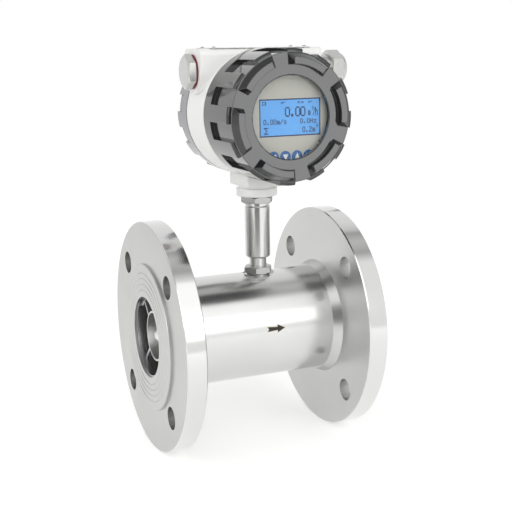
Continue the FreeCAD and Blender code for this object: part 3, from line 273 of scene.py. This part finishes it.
# powder coat on the cast housing: white, half gloss, with a faint orange peel
powderCoat = {
    "colour": "#F1F1EF",
    "darker": "#ECECEA",
    "roughness": (0.26, 0.34),
    "patch": 40 * mm,
    "peelSize": 1.6 * mm,
    "peelDepth": 0.015 * mm,
    "threadPitch": 2.0 * mm,     # the necks are bare, and show the thread that the covers screw on
    "threadDepth": 0.6 * mm,
    "threadRadius": 44.6 * mm,
    "threadBands": [(-33.5 * mm, -17.8 * mm), (21.3 * mm, 34.5 * mm)],
    "threadColour": "#B9BABC",
    "edge": 0.9 * mm,            # cast edges are rounded under the coat
}


def threadMask(tree, place, radius, bands):
    # 1 on the bare screw thread of a neck about the drum's line, 0 on the paint
    moved = addNode(tree, "ShaderNodeVectorMath", {"operation": "SUBTRACT"}, {0: place})
    moved.inputs[1].default_value = (meterX, 0, drumZ)
    inside = addNode(tree, "ShaderNodeMath", {"operation": "LESS_THAN", 1: radius},
                     {0: distanceFromAxis(tree, moved.outputs[0], (1, 0, 1))})
    split = addNode(tree, "ShaderNodeSeparateXYZ", None, {"Vector": place})
    total = None
    for low, high in bands:
        middle, half = (low + high) / 2, (high - low) / 2
        band = addNode(tree, "ShaderNodeMath", {"operation": "COMPARE", 1: middle, 2: half},
                       {0: split.outputs["Y"]})
        if total is None:
            total = band.outputs[0]
        else:
            total = addNode(tree, "ShaderNodeMath", {"operation": "ADD"},
                            {0: total, 1: band.outputs[0]}).outputs[0]
    mask = addNode(tree, "ShaderNodeMath", {"operation": "MULTIPLY"},
                   {0: total, 1: inside.outputs[0]})
    return mask.outputs[0], moved.outputs[0], split.outputs["Y"]


def makePowderCoat(name, look):
    material, tree, principled = newMaterial(name, {"IOR": 1.5})
    place = addNode(tree, "ShaderNodeTexCoord").outputs["Object"]
    tone = unevenTone(tree, principled, place, look)
    peel = addNode(tree, "ShaderNodeTexNoise", {"Scale": 1 / look["peelSize"], "Detail": 1.5},
                   {"Vector": place})
    edge = addNode(tree, "ShaderNodeBevel", {"samples": 4, "Radius": look["edge"]})
    skin = addNode(tree, "ShaderNodeBump", {"Distance": look["peelDepth"]},
                   {"Height": peel.outputs["Fac"], "Normal": edge.outputs["Normal"]})
    mask, fromAxis, along = threadMask(tree, place, look["threadRadius"], look["threadBands"])
    # the thread's height: a wave along the neck that moves on one pitch each turn
    split = addNode(tree, "ShaderNodeSeparateXYZ", None, {"Vector": fromAxis})
    turnAngle = addNode(tree, "ShaderNodeMath", {"operation": "ARCTAN2"},
                        {0: split.outputs["Z"], 1: split.outputs["X"]})
    phase = addNode(tree, "ShaderNodeMath",
                    {"operation": "MULTIPLY_ADD", 1: 2 * math.pi / look["threadPitch"]},
                    {0: along, 2: turnAngle.outputs[0]})
    wave = addNode(tree, "ShaderNodeMath", {"operation": "SINE"}, {0: phase.outputs[0]})
    ridge = addNode(tree, "ShaderNodeMath", {"operation": "MULTIPLY"}, {0: wave.outputs[0], 1: mask})
    thread = addNode(tree, "ShaderNodeBump", {"Distance": look["threadDepth"]},
                     {"Height": ridge.outputs[0], "Normal": skin.outputs["Normal"]})
    tree.links.new(thread.outputs["Normal"], principled.inputs["Normal"])
    bare = addNode(tree, "ShaderNodeMix", {"data_type": "RGBA"}, {0: mask, 6: tone.outputs[2]})
    bare.inputs[7].default_value = linear(look["threadColour"])
    tree.links.new(bare.outputs[2], principled.inputs["Base Color"])
    tree.links.new(mask, principled.inputs["Metallic"])
    return material


# thick gloss paint on the screwed covers: it goes nearly black where nothing bright is reflected
glossPaints = {
    "dark grey gloss paint": {"colour": "#1B1C1F", "darker": "#17181A", "roughness": (0.09, 0.13),
                              "patch": 35 * mm, "peelSize": 3.0 * mm, "peelDepth": 0.008 * mm,
                              "edge": 0.9 * mm},
    "mid grey gloss paint": {"colour": "#7E7F84", "darker": "#77787D", "roughness": (0.14, 0.2),
                             "patch": 35 * mm, "peelSize": 3.0 * mm, "peelDepth": 0.008 * mm,
                             "edge": 0.9 * mm},
}


def makeGlossPaint(name, look):
    material, tree, principled = newMaterial(
        name, {"IOR": 1.52, "Coat Weight": 0.5, "Coat Roughness": 0.03, "Coat IOR": 1.5})
    place = addNode(tree, "ShaderNodeTexCoord").outputs["Object"]
    unevenTone(tree, principled, place, look)
    peel = addNode(tree, "ShaderNodeTexNoise", {"Scale": 1 / look["peelSize"], "Detail": 1.0},
                   {"Vector": place})
    edge = addNode(tree, "ShaderNodeBevel", {"samples": 6, "Radius": look["edge"]})
    bump = addNode(tree, "ShaderNodeBump", {"Distance": look["peelDepth"]},
                   {"Height": peel.outputs["Fac"], "Normal": edge.outputs["Normal"]})
    tree.links.new(bump.outputs["Normal"], principled.inputs["Normal"])
    return material


# float glass with an anti-glare coat: clear, with only a faint reflection of the room
windowGlass = {
    "ior": 1.5,
    "level": 0.04,
    "roughness": 0.0,
    "colour": "#FBFDFC",
    "smear": "#F4F7F6",
    "smearSize": 18 * mm,
}


def makeWindowGlass(name, look):
    material, tree, principled = newMaterial(
        name, {"IOR": look["ior"], "Specular IOR Level": look["level"],
               "Roughness": look["roughness"], "Transmission Weight": 1.0})
    place = addNode(tree, "ShaderNodeTexCoord").outputs["Object"]
    smear = addNode(tree, "ShaderNodeTexNoise", {"Scale": 1 / look["smearSize"], "Detail": 3.0},
                    {"Vector": place})
    tint = addNode(tree, "ShaderNodeMix",
                   {"data_type": "RGBA", 6: linear(look["colour"]), 7: linear(look["smear"])},
                   {0: smear.outputs["Fac"]})
    tree.links.new(tint.outputs[2], principled.inputs["Base Color"])
    return material


# liquid crystal pane with its back light on: an even blue that glows a little, with no shine
screenGlow = {
    "colour": "#5C9FDE",
    "edge": "#4F93D6",
    "glow": 0.25,
    "level": 0.08,
    "roughness": 0.4,
    "cloudScale": 60.0,          # changes of tone in a metre
    "dotPitch": 0.39 * mm,       # the dots' grid, far finer than the picture shows
    "dotDepth": 0.002 * mm,
}


def makeScreenGlow(name, look):
    material, tree, principled = newMaterial(
        name, {"IOR": 1.5, "Roughness": look["roughness"], "Specular IOR Level": look["level"]})
    place = addNode(tree, "ShaderNodeTexCoord").outputs["Object"]
    cloud = addNode(tree, "ShaderNodeTexNoise", {"Scale": look["cloudScale"], "Detail": 1.0},
                    {"Vector": place})
    tone = addNode(tree, "ShaderNodeMix", {"data_type": "RGBA"}, {0: cloud.outputs["Fac"]})
    tone.inputs[6].default_value = linear(look["colour"])
    tone.inputs[7].default_value = linear(look["edge"])
    tree.links.new(tone.outputs[2], principled.inputs["Base Color"])
    tree.links.new(tone.outputs[2], principled.inputs["Emission Color"])
    principled.inputs["Emission Strength"].default_value = look["glow"]
    grid = addNode(tree, "ShaderNodeTexVoronoi", {"Scale": 1 / look["dotPitch"]}, {"Vector": place})
    bump = addNode(tree, "ShaderNodeBump", {"Distance": look["dotDepth"]},
                   {"Height": grid.outputs["Distance"]})
    tree.links.new(bump.outputs["Normal"], principled.inputs["Normal"])
    return material


# dark prints, flat and without shine
darkInks = {
    # the screen's dark dots: navy
    "navy display ink": {"colour": "#163466", "darker": "#122B55", "roughness": (0.4, 0.5),
                         "patch": 6 * mm, "grain": 0.3 * mm, "depth": 0.002 * mm, "ior": 1.5,
                         "level": 0.08},
    # paint in the etched flow arrow: brownish black
    "black arrow paint": {"colour": "#2A241C", "darker": "#1C1812", "roughness": (0.4, 0.55),
                          "patch": 1.5 * mm, "grain": 0.3 * mm, "depth": 0.01 * mm, "ior": 1.5},
    # tint that the etching leaves round it: straw
    "straw etched edge": {"colour": "#B9A46A", "darker": "#9E8A55", "roughness": (0.4, 0.5),
                          "patch": 1.5 * mm, "grain": 0.3 * mm, "depth": 0.01 * mm, "ior": 1.5},
}

steelTube = makePolishedTube("polished stainless tube", polishedTube, "X")
steelStem = makePolishedTube("polished stainless stem", polishedTube, "Z")
steelFlange = makeFacedFlange("lathe faced stainless", facedFlange)
# painted shade: the same stainless as the outlet's flange, with a greyer colour that stands in for the
# shade on the inlet's face
# the inlet's face comes out a little greyer in the photograph than the outlet's
inletFlangeWithPaintedShade = makeFacedFlange("lathe faced stainless with painted shade",
                               {**facedFlange, "colour": "#C4C4C3", "darker": "#BDBDBC"})
metals = {name: makePlainMetal(name, look) for name, look in plainMetals.items()}
skins = {name: makeMouldedSkin(name, look) for name, look in mouldedSkins.items()}
inks = {name: makeMouldedSkin(name, look) for name, look in darkInks.items()}
paints = {name: makeGlossPaint(name, look) for name, look in glossPaints.items()}
whiteCoat = makePowderCoat("white powder coat", powderCoat)
clearGlass = makeWindowGlass("clear float glass", windowGlass)
screenBlue = makeScreenGlow("back lit blue screen", screenGlow)

finishOf = {
    "body_tube": steelTube, "inlet_flange": inletFlangeWithPaintedShade, "outlet_flange": steelFlange,
    "inlet_snap_ring": metals["spring steel"], "outlet_snap_ring": metals["spring steel"],
    "inlet_guide_hub": metals["satin guide sheet"], "outlet_guide_hub": metals["satin guide sheet"],
    "inlet_vane_ring": metals["satin guide sheet"], "outlet_vane_ring": metals["satin guide sheet"],
    "inlet_vanes": metals["satin guide sheet"], "outlet_vanes": metals["satin guide sheet"],
    "inlet_bearing": metals["ground hard metal"], "outlet_bearing": metals["ground hard metal"],
    "inlet_thrust_pad": metals["ground hard metal"],
    "outlet_thrust_pad": metals["ground hard metal"],
    "rotor": metals["milled rotor steel"], "rotor_shaft": metals["ground hard metal"],
    "pickup_body": steelStem, "pickup_lock_nut": metals["bright nut steel"],
    "head_lock_nut": metals["bright nut steel"],
    "pole_piece": metals["soft iron"], "coil_bobbin": skins["black moulded plastic"],
    "pickup_coil": metals["enamelled copper wire"], "pickup_magnet": metals["nickelled magnet"],
    "preamp_board": skins["green circuit board"],
    "head_housing": whiteCoat, "front_cover": paints["dark grey gloss paint"],
    "rear_cover": paints["mid grey gloss paint"],
    "window_seal": skins["black sealing rubber"], "window_glass": clearGlass,
    "window_ring": metals["blackened ring steel"], "front_oring": skins["black sealing rubber"],
    "rear_oring": skins["black sealing rubber"], "face_panel": skins["warm grey face foil"],
    "lcd_module": screenBlue, "display_board": skins["green circuit board"],
    "main_board": skins["green circuit board"], "main_standoffs": metals["nickel plated brass"],
    "display_standoffs": metals["nickel plated brass"],
    "panel_spacers": metals["nickel plated brass"], "panel_screws": metals["spring steel"],
    "key_left": skins["blue silicone key"], "key_down": skins["blue silicone key"],
    "key_up": skins["blue silicone key"], "key_right": skins["blue silicone key"],
    "key_switches": skins["black moulded plastic"],
    "terminal_block": skins["green terminal plastic"],
    "terminal_screws": metals["nickel plated brass"],
    "wire_feedthrough": skins["black sealing rubber"],
    "earth_screw": metals["nickel plated brass"],
    "blanking_plug": metals["nickel plated brass"], "plug_seal": skins["dark red sealing ring"],
    "gland_gasket": skins["black sealing rubber"], "gland_body": metals["nickel plated brass"],
    "gland_insert": skins["black sealing rubber"],
    "gland_slip_ring": skins["black moulded plastic"],
    "gland_nut": metals["nickel plated brass"], "name_plate": metals["brushed plate steel"],
    "plate_rivets": metals["rivet aluminium"],
}
for nodeName, material in finishOf.items():
    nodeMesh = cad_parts[nodeName].data
    nodeMesh.materials.clear()
    nodeMesh.materials.append(material)
# daylight reaches the face straight through the thin pane, without the slow search for bent light
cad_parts["window_glass"].visible_shadow = False
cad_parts["window_glass"].visible_diffuse = False
print("finishes set on", len(finishOf), "nodes")


# flat print, a hair above its surface

def newPiece(name, mesh, material, body):
    piece = bpy.data.objects.new(name, mesh)
    bpy.context.collection.objects.link(piece)
    piece.data.materials.append(material)
    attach(piece, body)
    return piece


def meshFrom(name, corners, faces):
    mesh = bpy.data.meshes.new(name)
    mesh.from_pydata([tuple(c) for c in corners], [], faces)
    mesh.validate()
    mesh.update()
    return mesh


# what the screen shows: readings of a meter at rest, in dots
screenPrint = {
    "centre": (2.7 * mm, -0.4 * mm),      # from the drum's line
    "size": (50.5 * mm, 28.1 * mm),
    "sunk": 0.3 * mm,                     # the pane lies this far behind the face
    "border": 1.0 * mm,
    "dotSize": (0.39 * mm, 0.42 * mm),
    "spread": (0.2 * mm, 0.08 * mm),      # the dots bleed a little into each other
    "rows": [
        # text, left end and base line as shares of the pane, dots per letter dot, step in dots
        ("0.00", 0.415, 0.515, (2.1, 2.5), 10.9),
        ("m", 0.795, 0.53, (1.05, 1.75), 6.0),
        ("3", 0.855, 0.68, (0.75, 0.85), 4.0),
        ("/h", 0.875, 0.52, (1.0, 2.2), 5.0),
        ("0.00m/s", 0.066, 0.325, (1.1, 1.3), 7.1),
        ("0.0Hz", 0.662, 0.325, (1.1, 1.25), 7.3),
        ("S", 0.07, 0.07, (1.8, 1.7), 8.0),
        ("0.2m", 0.70, 0.09, (1.1, 1.45), 7.2),
        ("3", 0.925, 0.21, (0.75, 0.75), 4.0),
        # status marks along the top
        ("[", 0.05, 0.84, (1.0, 1.0), 7.0),
        ("=", 0.35, 0.85, (1.0, 1.0), 7.0),
        ("-", 0.62, 0.85, (1.0, 1.0), 7.0),
        ("-", 0.68, 0.85, (1.0, 1.0), 7.0),
        ("=", 0.80, 0.85, (1.0, 1.0), 7.0),
    ],
}
# letters in dots on the usual grid of 5 by 7, and three marks on grids of their own
dotLetters = {
    "0": ["01110", "10001", "10001", "10001", "10001", "10001", "01110"],
    "2": ["01110", "10001", "00001", "00110", "01000", "10000", "11111"],
    "3": ["11110", "00001", "00001", "01110", "00001", "00001", "11110"],
    ".": ["00000", "00000", "00000", "00000", "00000", "01100", "01100"],
    "m": ["00000", "00000", "11010", "10101", "10101", "10101", "10101"],
    "s": ["00000", "00000", "01111", "10000", "01110", "00001", "11110"],
    "h": ["10000", "10000", "10110", "11001", "10001", "10001", "10001"],
    "H": ["10001", "10001", "10001", "11111", "10001", "10001", "10001"],
    "z": ["00000", "00000", "11111", "00010", "00100", "01000", "11111"],
    "/": ["00001", "00001", "00010", "00100", "01000", "10000", "10000"],
    "S": ["11111", "01000", "00100", "00010", "00100", "01000", "11111"],
    "[": ["11111110", "10000010", "10000011", "10000011", "10000010", "11111110"],
    "=": ["11111111", "00000000", "11110000", "00000000"],
    "-": ["11111", "00000", "11111", "00000"],
}


def makeScreenPrint(look):
    corners, faces = [], []
    width, height = look["size"]
    left = meterX + look["centre"][0] - width / 2
    low = drumZ + look["centre"][1] - height / 2
    y = panelY + look["sunk"] - printLift
    dotX, dotZ = look["dotSize"]
    spreadX, spreadZ = look["spread"]

    def addQuad(x0, z0, x1, z1):
        start = len(corners)
        corners.extend([(x0, y, z0), (x1, y, z0), (x1, y, z1), (x0, y, z1)])
        faces.append((start, start + 1, start + 2, start + 3))

    for text, leftShare, baseShare, (scaleX, scaleZ), step in look["rows"]:
        for place, letter in enumerate(text):
            rows = dotLetters[letter]
            x = left + leftShare * width + place * step * dotX
            for r, row in enumerate(rows):
                z = low + baseShare * height + (len(rows) - 1 - r) * scaleZ * dotZ
                for run in re.finditer("1+", row):       # neighbouring dots share one quad
                    addQuad(x + run.start() * scaleX * dotX, z,
                            x + run.end() * scaleX * dotX + spreadX, z + scaleZ * dotZ + spreadZ)
    mesh = meshFrom("screen_readings", corners, faces)
    newPiece("screen_readings", mesh, inks["navy display ink"], "head")

    # dark line round the pane
    corners.clear()
    faces.clear()
    edge = look["border"]
    right, top = left + width, low + height
    addQuad(left, low, right, low + edge)
    addQuad(left, top - edge, right, top)
    addQuad(left, low + edge, left + edge, top - edge)
    addQuad(right - edge, low + edge, right, top - edge)
    mesh = meshFrom("screen_border", corners, faces)
    newPiece("screen_border", mesh, inks["navy display ink"], "head")


makeScreenPrint(screenPrint)
print("screen printed")


# white arrow heads on the four keys
keyPrint = {
    "first": -11.35 * mm,        # the left key's middle, from the drum's line
    "pitch": 9.7 * mm,
    "height": -29.7 * mm,
    "proud": 0.4 * mm,           # the keys stand out of the face
    "size": 2.8 * mm,            # middle to corner
    "corners": (0, 130, 230),    # degrees from the way that the arrow points
    "ways": {"key_left": 180, "key_down": 270, "key_up": 90, "key_right": 0},
}


def makeKeyPrint(look):
    for k, (key, way) in enumerate(look["ways"].items()):
        cx = meterX + look["first"] + look["pitch"] * k
        cz = drumZ + look["height"]
        y = panelY - look["proud"] - printLift
        corners = []
        for angle in look["corners"]:
            a = math.radians(way + angle)
            corners.append((cx + look["size"] * math.cos(a), y, cz + look["size"] * math.sin(a)))
        mesh = meshFrom(key + "_arrow", corners, [(0, 1, 2)])
        newPiece(key + "_arrow", mesh, skins["white key print"], key)


makeKeyPrint(keyPrint)
print("keys printed")


# flow arrow, etched and filled, wrapped on the front of the tube
flowArrow = {
    "tail": 0.0850,              # along the pipe
    "tip": 0.1000,
    "angle": 8.0,                # degrees above the tube's front line
    "shaftHalf": 1.15 * mm,
    "headHalf": 3.0 * mm,
    "headLength": 6.0 * mm,
    "tailFlare": 1.5,            # the shaft widens to its tail, which is cut in like a feather
    "notch": 1.6 * mm,
    "edge": 0.3 * mm,            # the straw edge, and how much wider it is at the barbs and the tip
    "edgeAtBarb": 1.6,
    "edgeAtTip": 2,
    "edgeLift": 0.02 * mm,
    "lift": 0.04 * mm,
    "cuts": 7,                   # so that the flat shape follows the tube
}


def wrapOnTube(along, up, lift):
    angle = up / tubeRadius
    reach = tubeRadius + lift
    return (along, -reach * math.cos(angle), reach * math.sin(angle))


def makeFlowArrow(look):
    middle = tubeRadius * math.radians(look["angle"])
    for name, grow, lift, material in (
            ("flow_arrow_edge", look["edge"], look["edgeLift"], inks["straw etched edge"]),
            ("flow_arrow", 0, look["lift"], inks["black arrow paint"])):
        tail, tip = look["tail"] - grow, look["tip"] + grow * look["edgeAtTip"]
        neck = look["tip"] - look["headLength"] - grow
        shaft, barb = look["shaftHalf"] + grow, look["headHalf"] + grow * look["edgeAtBarb"]
        flare = shaft * look["tailFlare"]
        points = [(tail, -flare), (neck, -shaft), (neck, -barb), (tip, 0),
                  (neck, barb), (neck, shaft), (tail, flare), (tail + look["notch"], 0)]
        shape = bmesh.new()
        flat = [shape.verts.new((along, up, 0)) for along, up in points]
        for face in [(0, 1, 7), (1, 5, 7), (5, 6, 7), (2, 3, 4)]:
            shape.faces.new([flat[i] for i in face])
        bmesh.ops.subdivide_edges(shape, edges=shape.edges[:], cuts=look["cuts"], use_grid_fill=True)
        for vert in shape.verts:
            vert.co = wrapOnTube(vert.co.x, middle + vert.co.y, lift)
        mesh = bpy.data.meshes.new(name)
        shape.to_mesh(mesh)
        shape.free()
        newPiece(name, mesh, material, "pipe_run")


makeFlowArrow(flowArrow)
print("flow arrow drawn")


# room: pale paper floor and white surroundings. Polished metal and gloss paint show the darker bands
# overhead and the dark card behind
room = {
    "floorColour": "#F4F4F3",
    "floorRoughness": 0.9,
    "floorSize": 6,
    "floorMiddle": (0.08, 0),
    "floorZ": -0.0925,
    "floorLift": 0.34,      # paler for the camera, metal and glass, and still dark enough for a shadow
    "fill": 0.9,            # level of the surroundings as a light on the object
    # level against the angle over the object's head: 0 in front, 90 straight up, 180 behind
    "strip": [(66, 1.0), (72, 0.7), (77, 0.46), (84, 0.58), (92, 0.66), (104, 0.42), (109, 0.74),
              (122, 0.9), (150, 0.95), (170, 1.0)],
    # the card fades in over soft degrees, and ends on the right between the two shares of side
    "backCard": {"from": 138, "to": 178, "soft": 4, "level": 0.08, "side": (0.22, 0.32)},
}


def seenBackground(tree, base, more):
    # base everywhere, and more added where the camera, a reflection or a look through glass sees it
    ray = addNode(tree, "ShaderNodeLightPath")
    seen = addNode(tree, "ShaderNodeMath", {"operation": "ADD"},
                   {0: ray.outputs["Is Camera Ray"], 1: ray.outputs["Is Glossy Ray"]})
    every = addNode(tree, "ShaderNodeMath", {"operation": "ADD", "use_clamp": True},
                    {0: seen.outputs[0], 1: ray.outputs["Is Transmission Ray"]})
    level = addNode(tree, "ShaderNodeMath", {"operation": "MULTIPLY_ADD", 1: more, 2: base},
                    {0: every.outputs[0]})
    return level.outputs[0]


def passedOnRay(tree):
    # 0 for the first reflection, 1 for what one mirror passes on to the next
    ray = addNode(tree, "ShaderNodeLightPath")
    later = addNode(tree, "ShaderNodeMath", {"operation": "GREATER_THAN", 1: 1.5},
                    {0: ray.outputs["Ray Depth"]})
    return later.outputs[0]


def makeRoom(look):
    bpy.ops.mesh.primitive_plane_add(
        size=look["floorSize"], location=(*look["floorMiddle"], look["floorZ"]))
    floor = bpy.context.object
    floor.name = "studio_floor"
    # paper doesn't mirror the boards, so it has no specular level
    material, tree, principled = newMaterial("pale studio paper", {
        "Base Color": linear(look["floorColour"]), "Roughness": look["floorRoughness"],
        "Specular IOR Level": 0, "Emission Color": (1, 1, 1, 1)})
    tree.links.new(seenBackground(tree, 0.0, look["floorLift"]), principled.inputs["Emission Strength"])
    floor.data.materials.append(material)

    world = bpy.data.worlds.new("studio")
    bpy.context.scene.world = world
    world.use_nodes = True
    tree = world.node_tree
    background = tree.nodes["Background"]
    way = addNode(tree, "ShaderNodeSeparateXYZ", None,
                  {"Vector": addNode(tree, "ShaderNodeTexCoord").outputs["Generated"]})
    forward = addNode(tree, "ShaderNodeMath", {"operation": "MULTIPLY", 1: -1.0},
                      {0: way.outputs["Y"]})

    def rampOver(levels):
        # level from the angle of a direction over the object's head
        angle = addNode(tree, "ShaderNodeMath", {"operation": "ARCTAN2"},
                        {0: way.outputs["Z"], 1: forward.outputs[0]})
        share = addNode(tree, "ShaderNodeMapRange", {"From Min": -math.pi, "From Max": math.pi},
                        {"Value": angle.outputs[0]})
        ramp = addNode(tree, "ShaderNodeValToRGB", None, {"Fac": share.outputs[0]})
        stops = ramp.color_ramp.elements
        stops.remove(stops[1])
        stops[0].position, stops[0].color = 0, (1, 1, 1, 1)
        for degrees, level in levels:
            stops.new((degrees + 180) / 360).color = (level, level, level, 1)
        return ramp.outputs["Color"]

    overhead = rampOver(look["strip"])
    back = look["backCard"]
    behind = rampOver([(back["from"], 1.0), (back["from"] + back["soft"], back["level"]),
                       (back["to"] - back["soft"], back["level"]), (back["to"], 1.0)])
    low, high = back["side"]
    side = addNode(tree, "ShaderNodeMapRange", {"From Min": low, "From Max": high},
                   {"Value": way.outputs["X"]})
    # a flange's face doesn't pass the back card on to the tube
    cardless = addNode(tree, "ShaderNodeMath", {"operation": "MAXIMUM"},
                       {0: side.outputs[0], 1: passedOnRay(tree)})
    backOnly = addNode(tree, "ShaderNodeMix", {"data_type": "RGBA", 7: (1, 1, 1, 1)},
                       {0: cardless.outputs[0], 6: behind})
    every = addNode(tree, "ShaderNodeMix", {"data_type": "RGBA", "blend_type": "MULTIPLY", 0: 1.0},
                    {6: overhead, 7: backOnly.outputs[2]})
    # the camera sees plain white, and the bands and the card show in reflections and in the light
    direct = addNode(tree, "ShaderNodeLightPath")
    shown = addNode(tree, "ShaderNodeMix", {"data_type": "RGBA", 7: (1, 1, 1, 1)},
                    {0: direct.outputs["Is Camera Ray"], 6: every.outputs[2]})
    tree.links.new(shown.outputs[2], background.inputs["Color"])
    tree.links.new(seenBackground(tree, look["fill"], 1 - look["fill"]), background.inputs["Strength"])


makeRoom(room)


# upright dark boards that only reflections show: they draw the lines down the polished stem
boards = {
    "overFloor": 1 * mm,
    "top": 0.42,               # over the pipe's line
    "places": {
        # angle round the stem from the front, half width, distance, level
        "front_board": (-22, 0.30, 0.70, 0.1),
        "left_board": (-131, 0.11, 0.70, 0.5),
        "right_board": (137, 0.10, 0.70, 0.25),
    },
}


def makeBoard(name, angle, half, distance, level):
    a = math.radians(angle)
    way = Vector((math.sin(a), -math.cos(a), 0))
    side = Vector((math.cos(a), math.sin(a), 0)) * half
    foot = Vector((meterX, 0, room["floorZ"] + boards["overFloor"])) + way * distance
    rise = Vector((0, 0, boards["top"] - room["floorZ"]))
    corners = [foot - side, foot + side, foot + side + rise, foot - side + rise]
    board = bpy.data.objects.new(name, meshFrom(name, corners, [(0, 1, 2, 3)]))
    bpy.context.collection.objects.link(board)
    material, tree, shader = newMaterial(name + " felt", {
        "Base Color": (0, 0, 0, 1), "Specular IOR Level": 0, "Emission Color": (1, 1, 1, 1)})
    # dark in a first reflection only, so that the flanges don't pass it on to the tube
    shown = addNode(tree, "ShaderNodeMath", {"operation": "MAXIMUM", 1: level},
                    {0: passedOnRay(tree)})
    tree.links.new(shown.outputs[0], shader.inputs["Emission Strength"])
    board.data.materials.append(material)
    board.visible_camera = False
    board.visible_diffuse = False
    board.visible_transmission = False
    board.visible_shadow = False


for boardName, values in boards["places"].items():
    makeBoard(boardName, *values)
print("room and boards ready")


# soft boxes: place, size and power in watts
lampAim = (0.09, 0, 0.06)   # about the middle of the meter
lamps = {
    "front box": {"place": (0.1, -1.4, 0.55), "size": (1.4, 0.7), "power": 5.0},
    "left box": {"place": (-1.2, -0.5, 0.7), "size": (0.8, 1.0), "power": 3.5},
    # faint, it widens the bright band along the tube upwards
    "high box": {"place": (0.1, -1.0, 1.16), "size": (1.4, 0.78), "power": 1.3},
    # small bright panel that the covers' flat faces and the bars show
    "low panel": {"place": (0.60, -1.22, -0.02), "size": (0.5, 0.5), "power": 2.1,
                  "coversOnly": True},
}


def addSoftBox(name, place, size, power):
    light = bpy.data.lights.new(name, "AREA")
    light.shape = "RECTANGLE"
    light.size, light.size_y = size
    light.energy = power
    lamp = bpy.data.objects.new(name, light)
    bpy.context.collection.objects.link(lamp)
    lamp.location = place
    direction = Vector(lampAim) - Vector(place)
    lamp.rotation_euler = direction.to_track_quat("-Z", "Y").to_euler()
    return lamp


coverGroup = bpy.data.collections.new("gloss painted covers")
for coverName in ("front_cover", "rear_cover"):
    coverGroup.objects.link(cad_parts[coverName])
for lampName, lamp in lamps.items():
    softBox = addSoftBox(lampName, lamp["place"], lamp["size"], lamp["power"])
    if lamp.get("coversOnly"):
        softBox.light_linking.receiver_collection = coverGroup


# camera at the photograph's angle, found from the flanges' and the window's ellipses
camera = {
    "azimuth": -23.0512,
    "elevation": 11.8181,
    "roll": -0.9866,
    "distance": 0.82743,
    "target": (0.09444, 0.0, 0.05683),
    "sensor": 36,
    "focal": 1003.3 / 512 * 36,  # 1003.3 pixels, of the photograph's 512, on the sensor's width
    "clip": (0.01, 20),
}


def makeCamera(look):
    azimuth, elevation = math.radians(look["azimuth"]), math.radians(look["elevation"])
    back = Vector((math.sin(azimuth) * math.cos(elevation), -math.cos(azimuth) * math.cos(elevation),
                   math.sin(elevation)))
    right = (-back).cross(Vector((0, 0, 1))).normalized()
    up = right.cross(-back)
    roll = math.radians(look["roll"])
    tiltedRight = right * math.cos(roll) + up * math.sin(roll)
    tiltedUp = up * math.cos(roll) - right * math.sin(roll)
    data = bpy.data.cameras.new("camera")
    data.lens = look["focal"]
    data.sensor_width = look["sensor"]
    data.clip_start, data.clip_end = look["clip"]
    camObject = bpy.data.objects.new("camera", data)
    bpy.context.collection.objects.link(camObject)
    place = Vector(look["target"]) + back * look["distance"]
    camObject.matrix_world = Matrix((
        (tiltedRight.x, tiltedUp.x, back.x, place.x),
        (tiltedRight.y, tiltedUp.y, back.y, place.y),
        (tiltedRight.z, tiltedUp.z, back.z, place.z),
        (0, 0, 0, 1)))
    bpy.context.scene.camera = camObject


makeCamera(camera)
bpy.context.scene.view_settings.view_transform = "Standard"
print("lamps and camera ready")
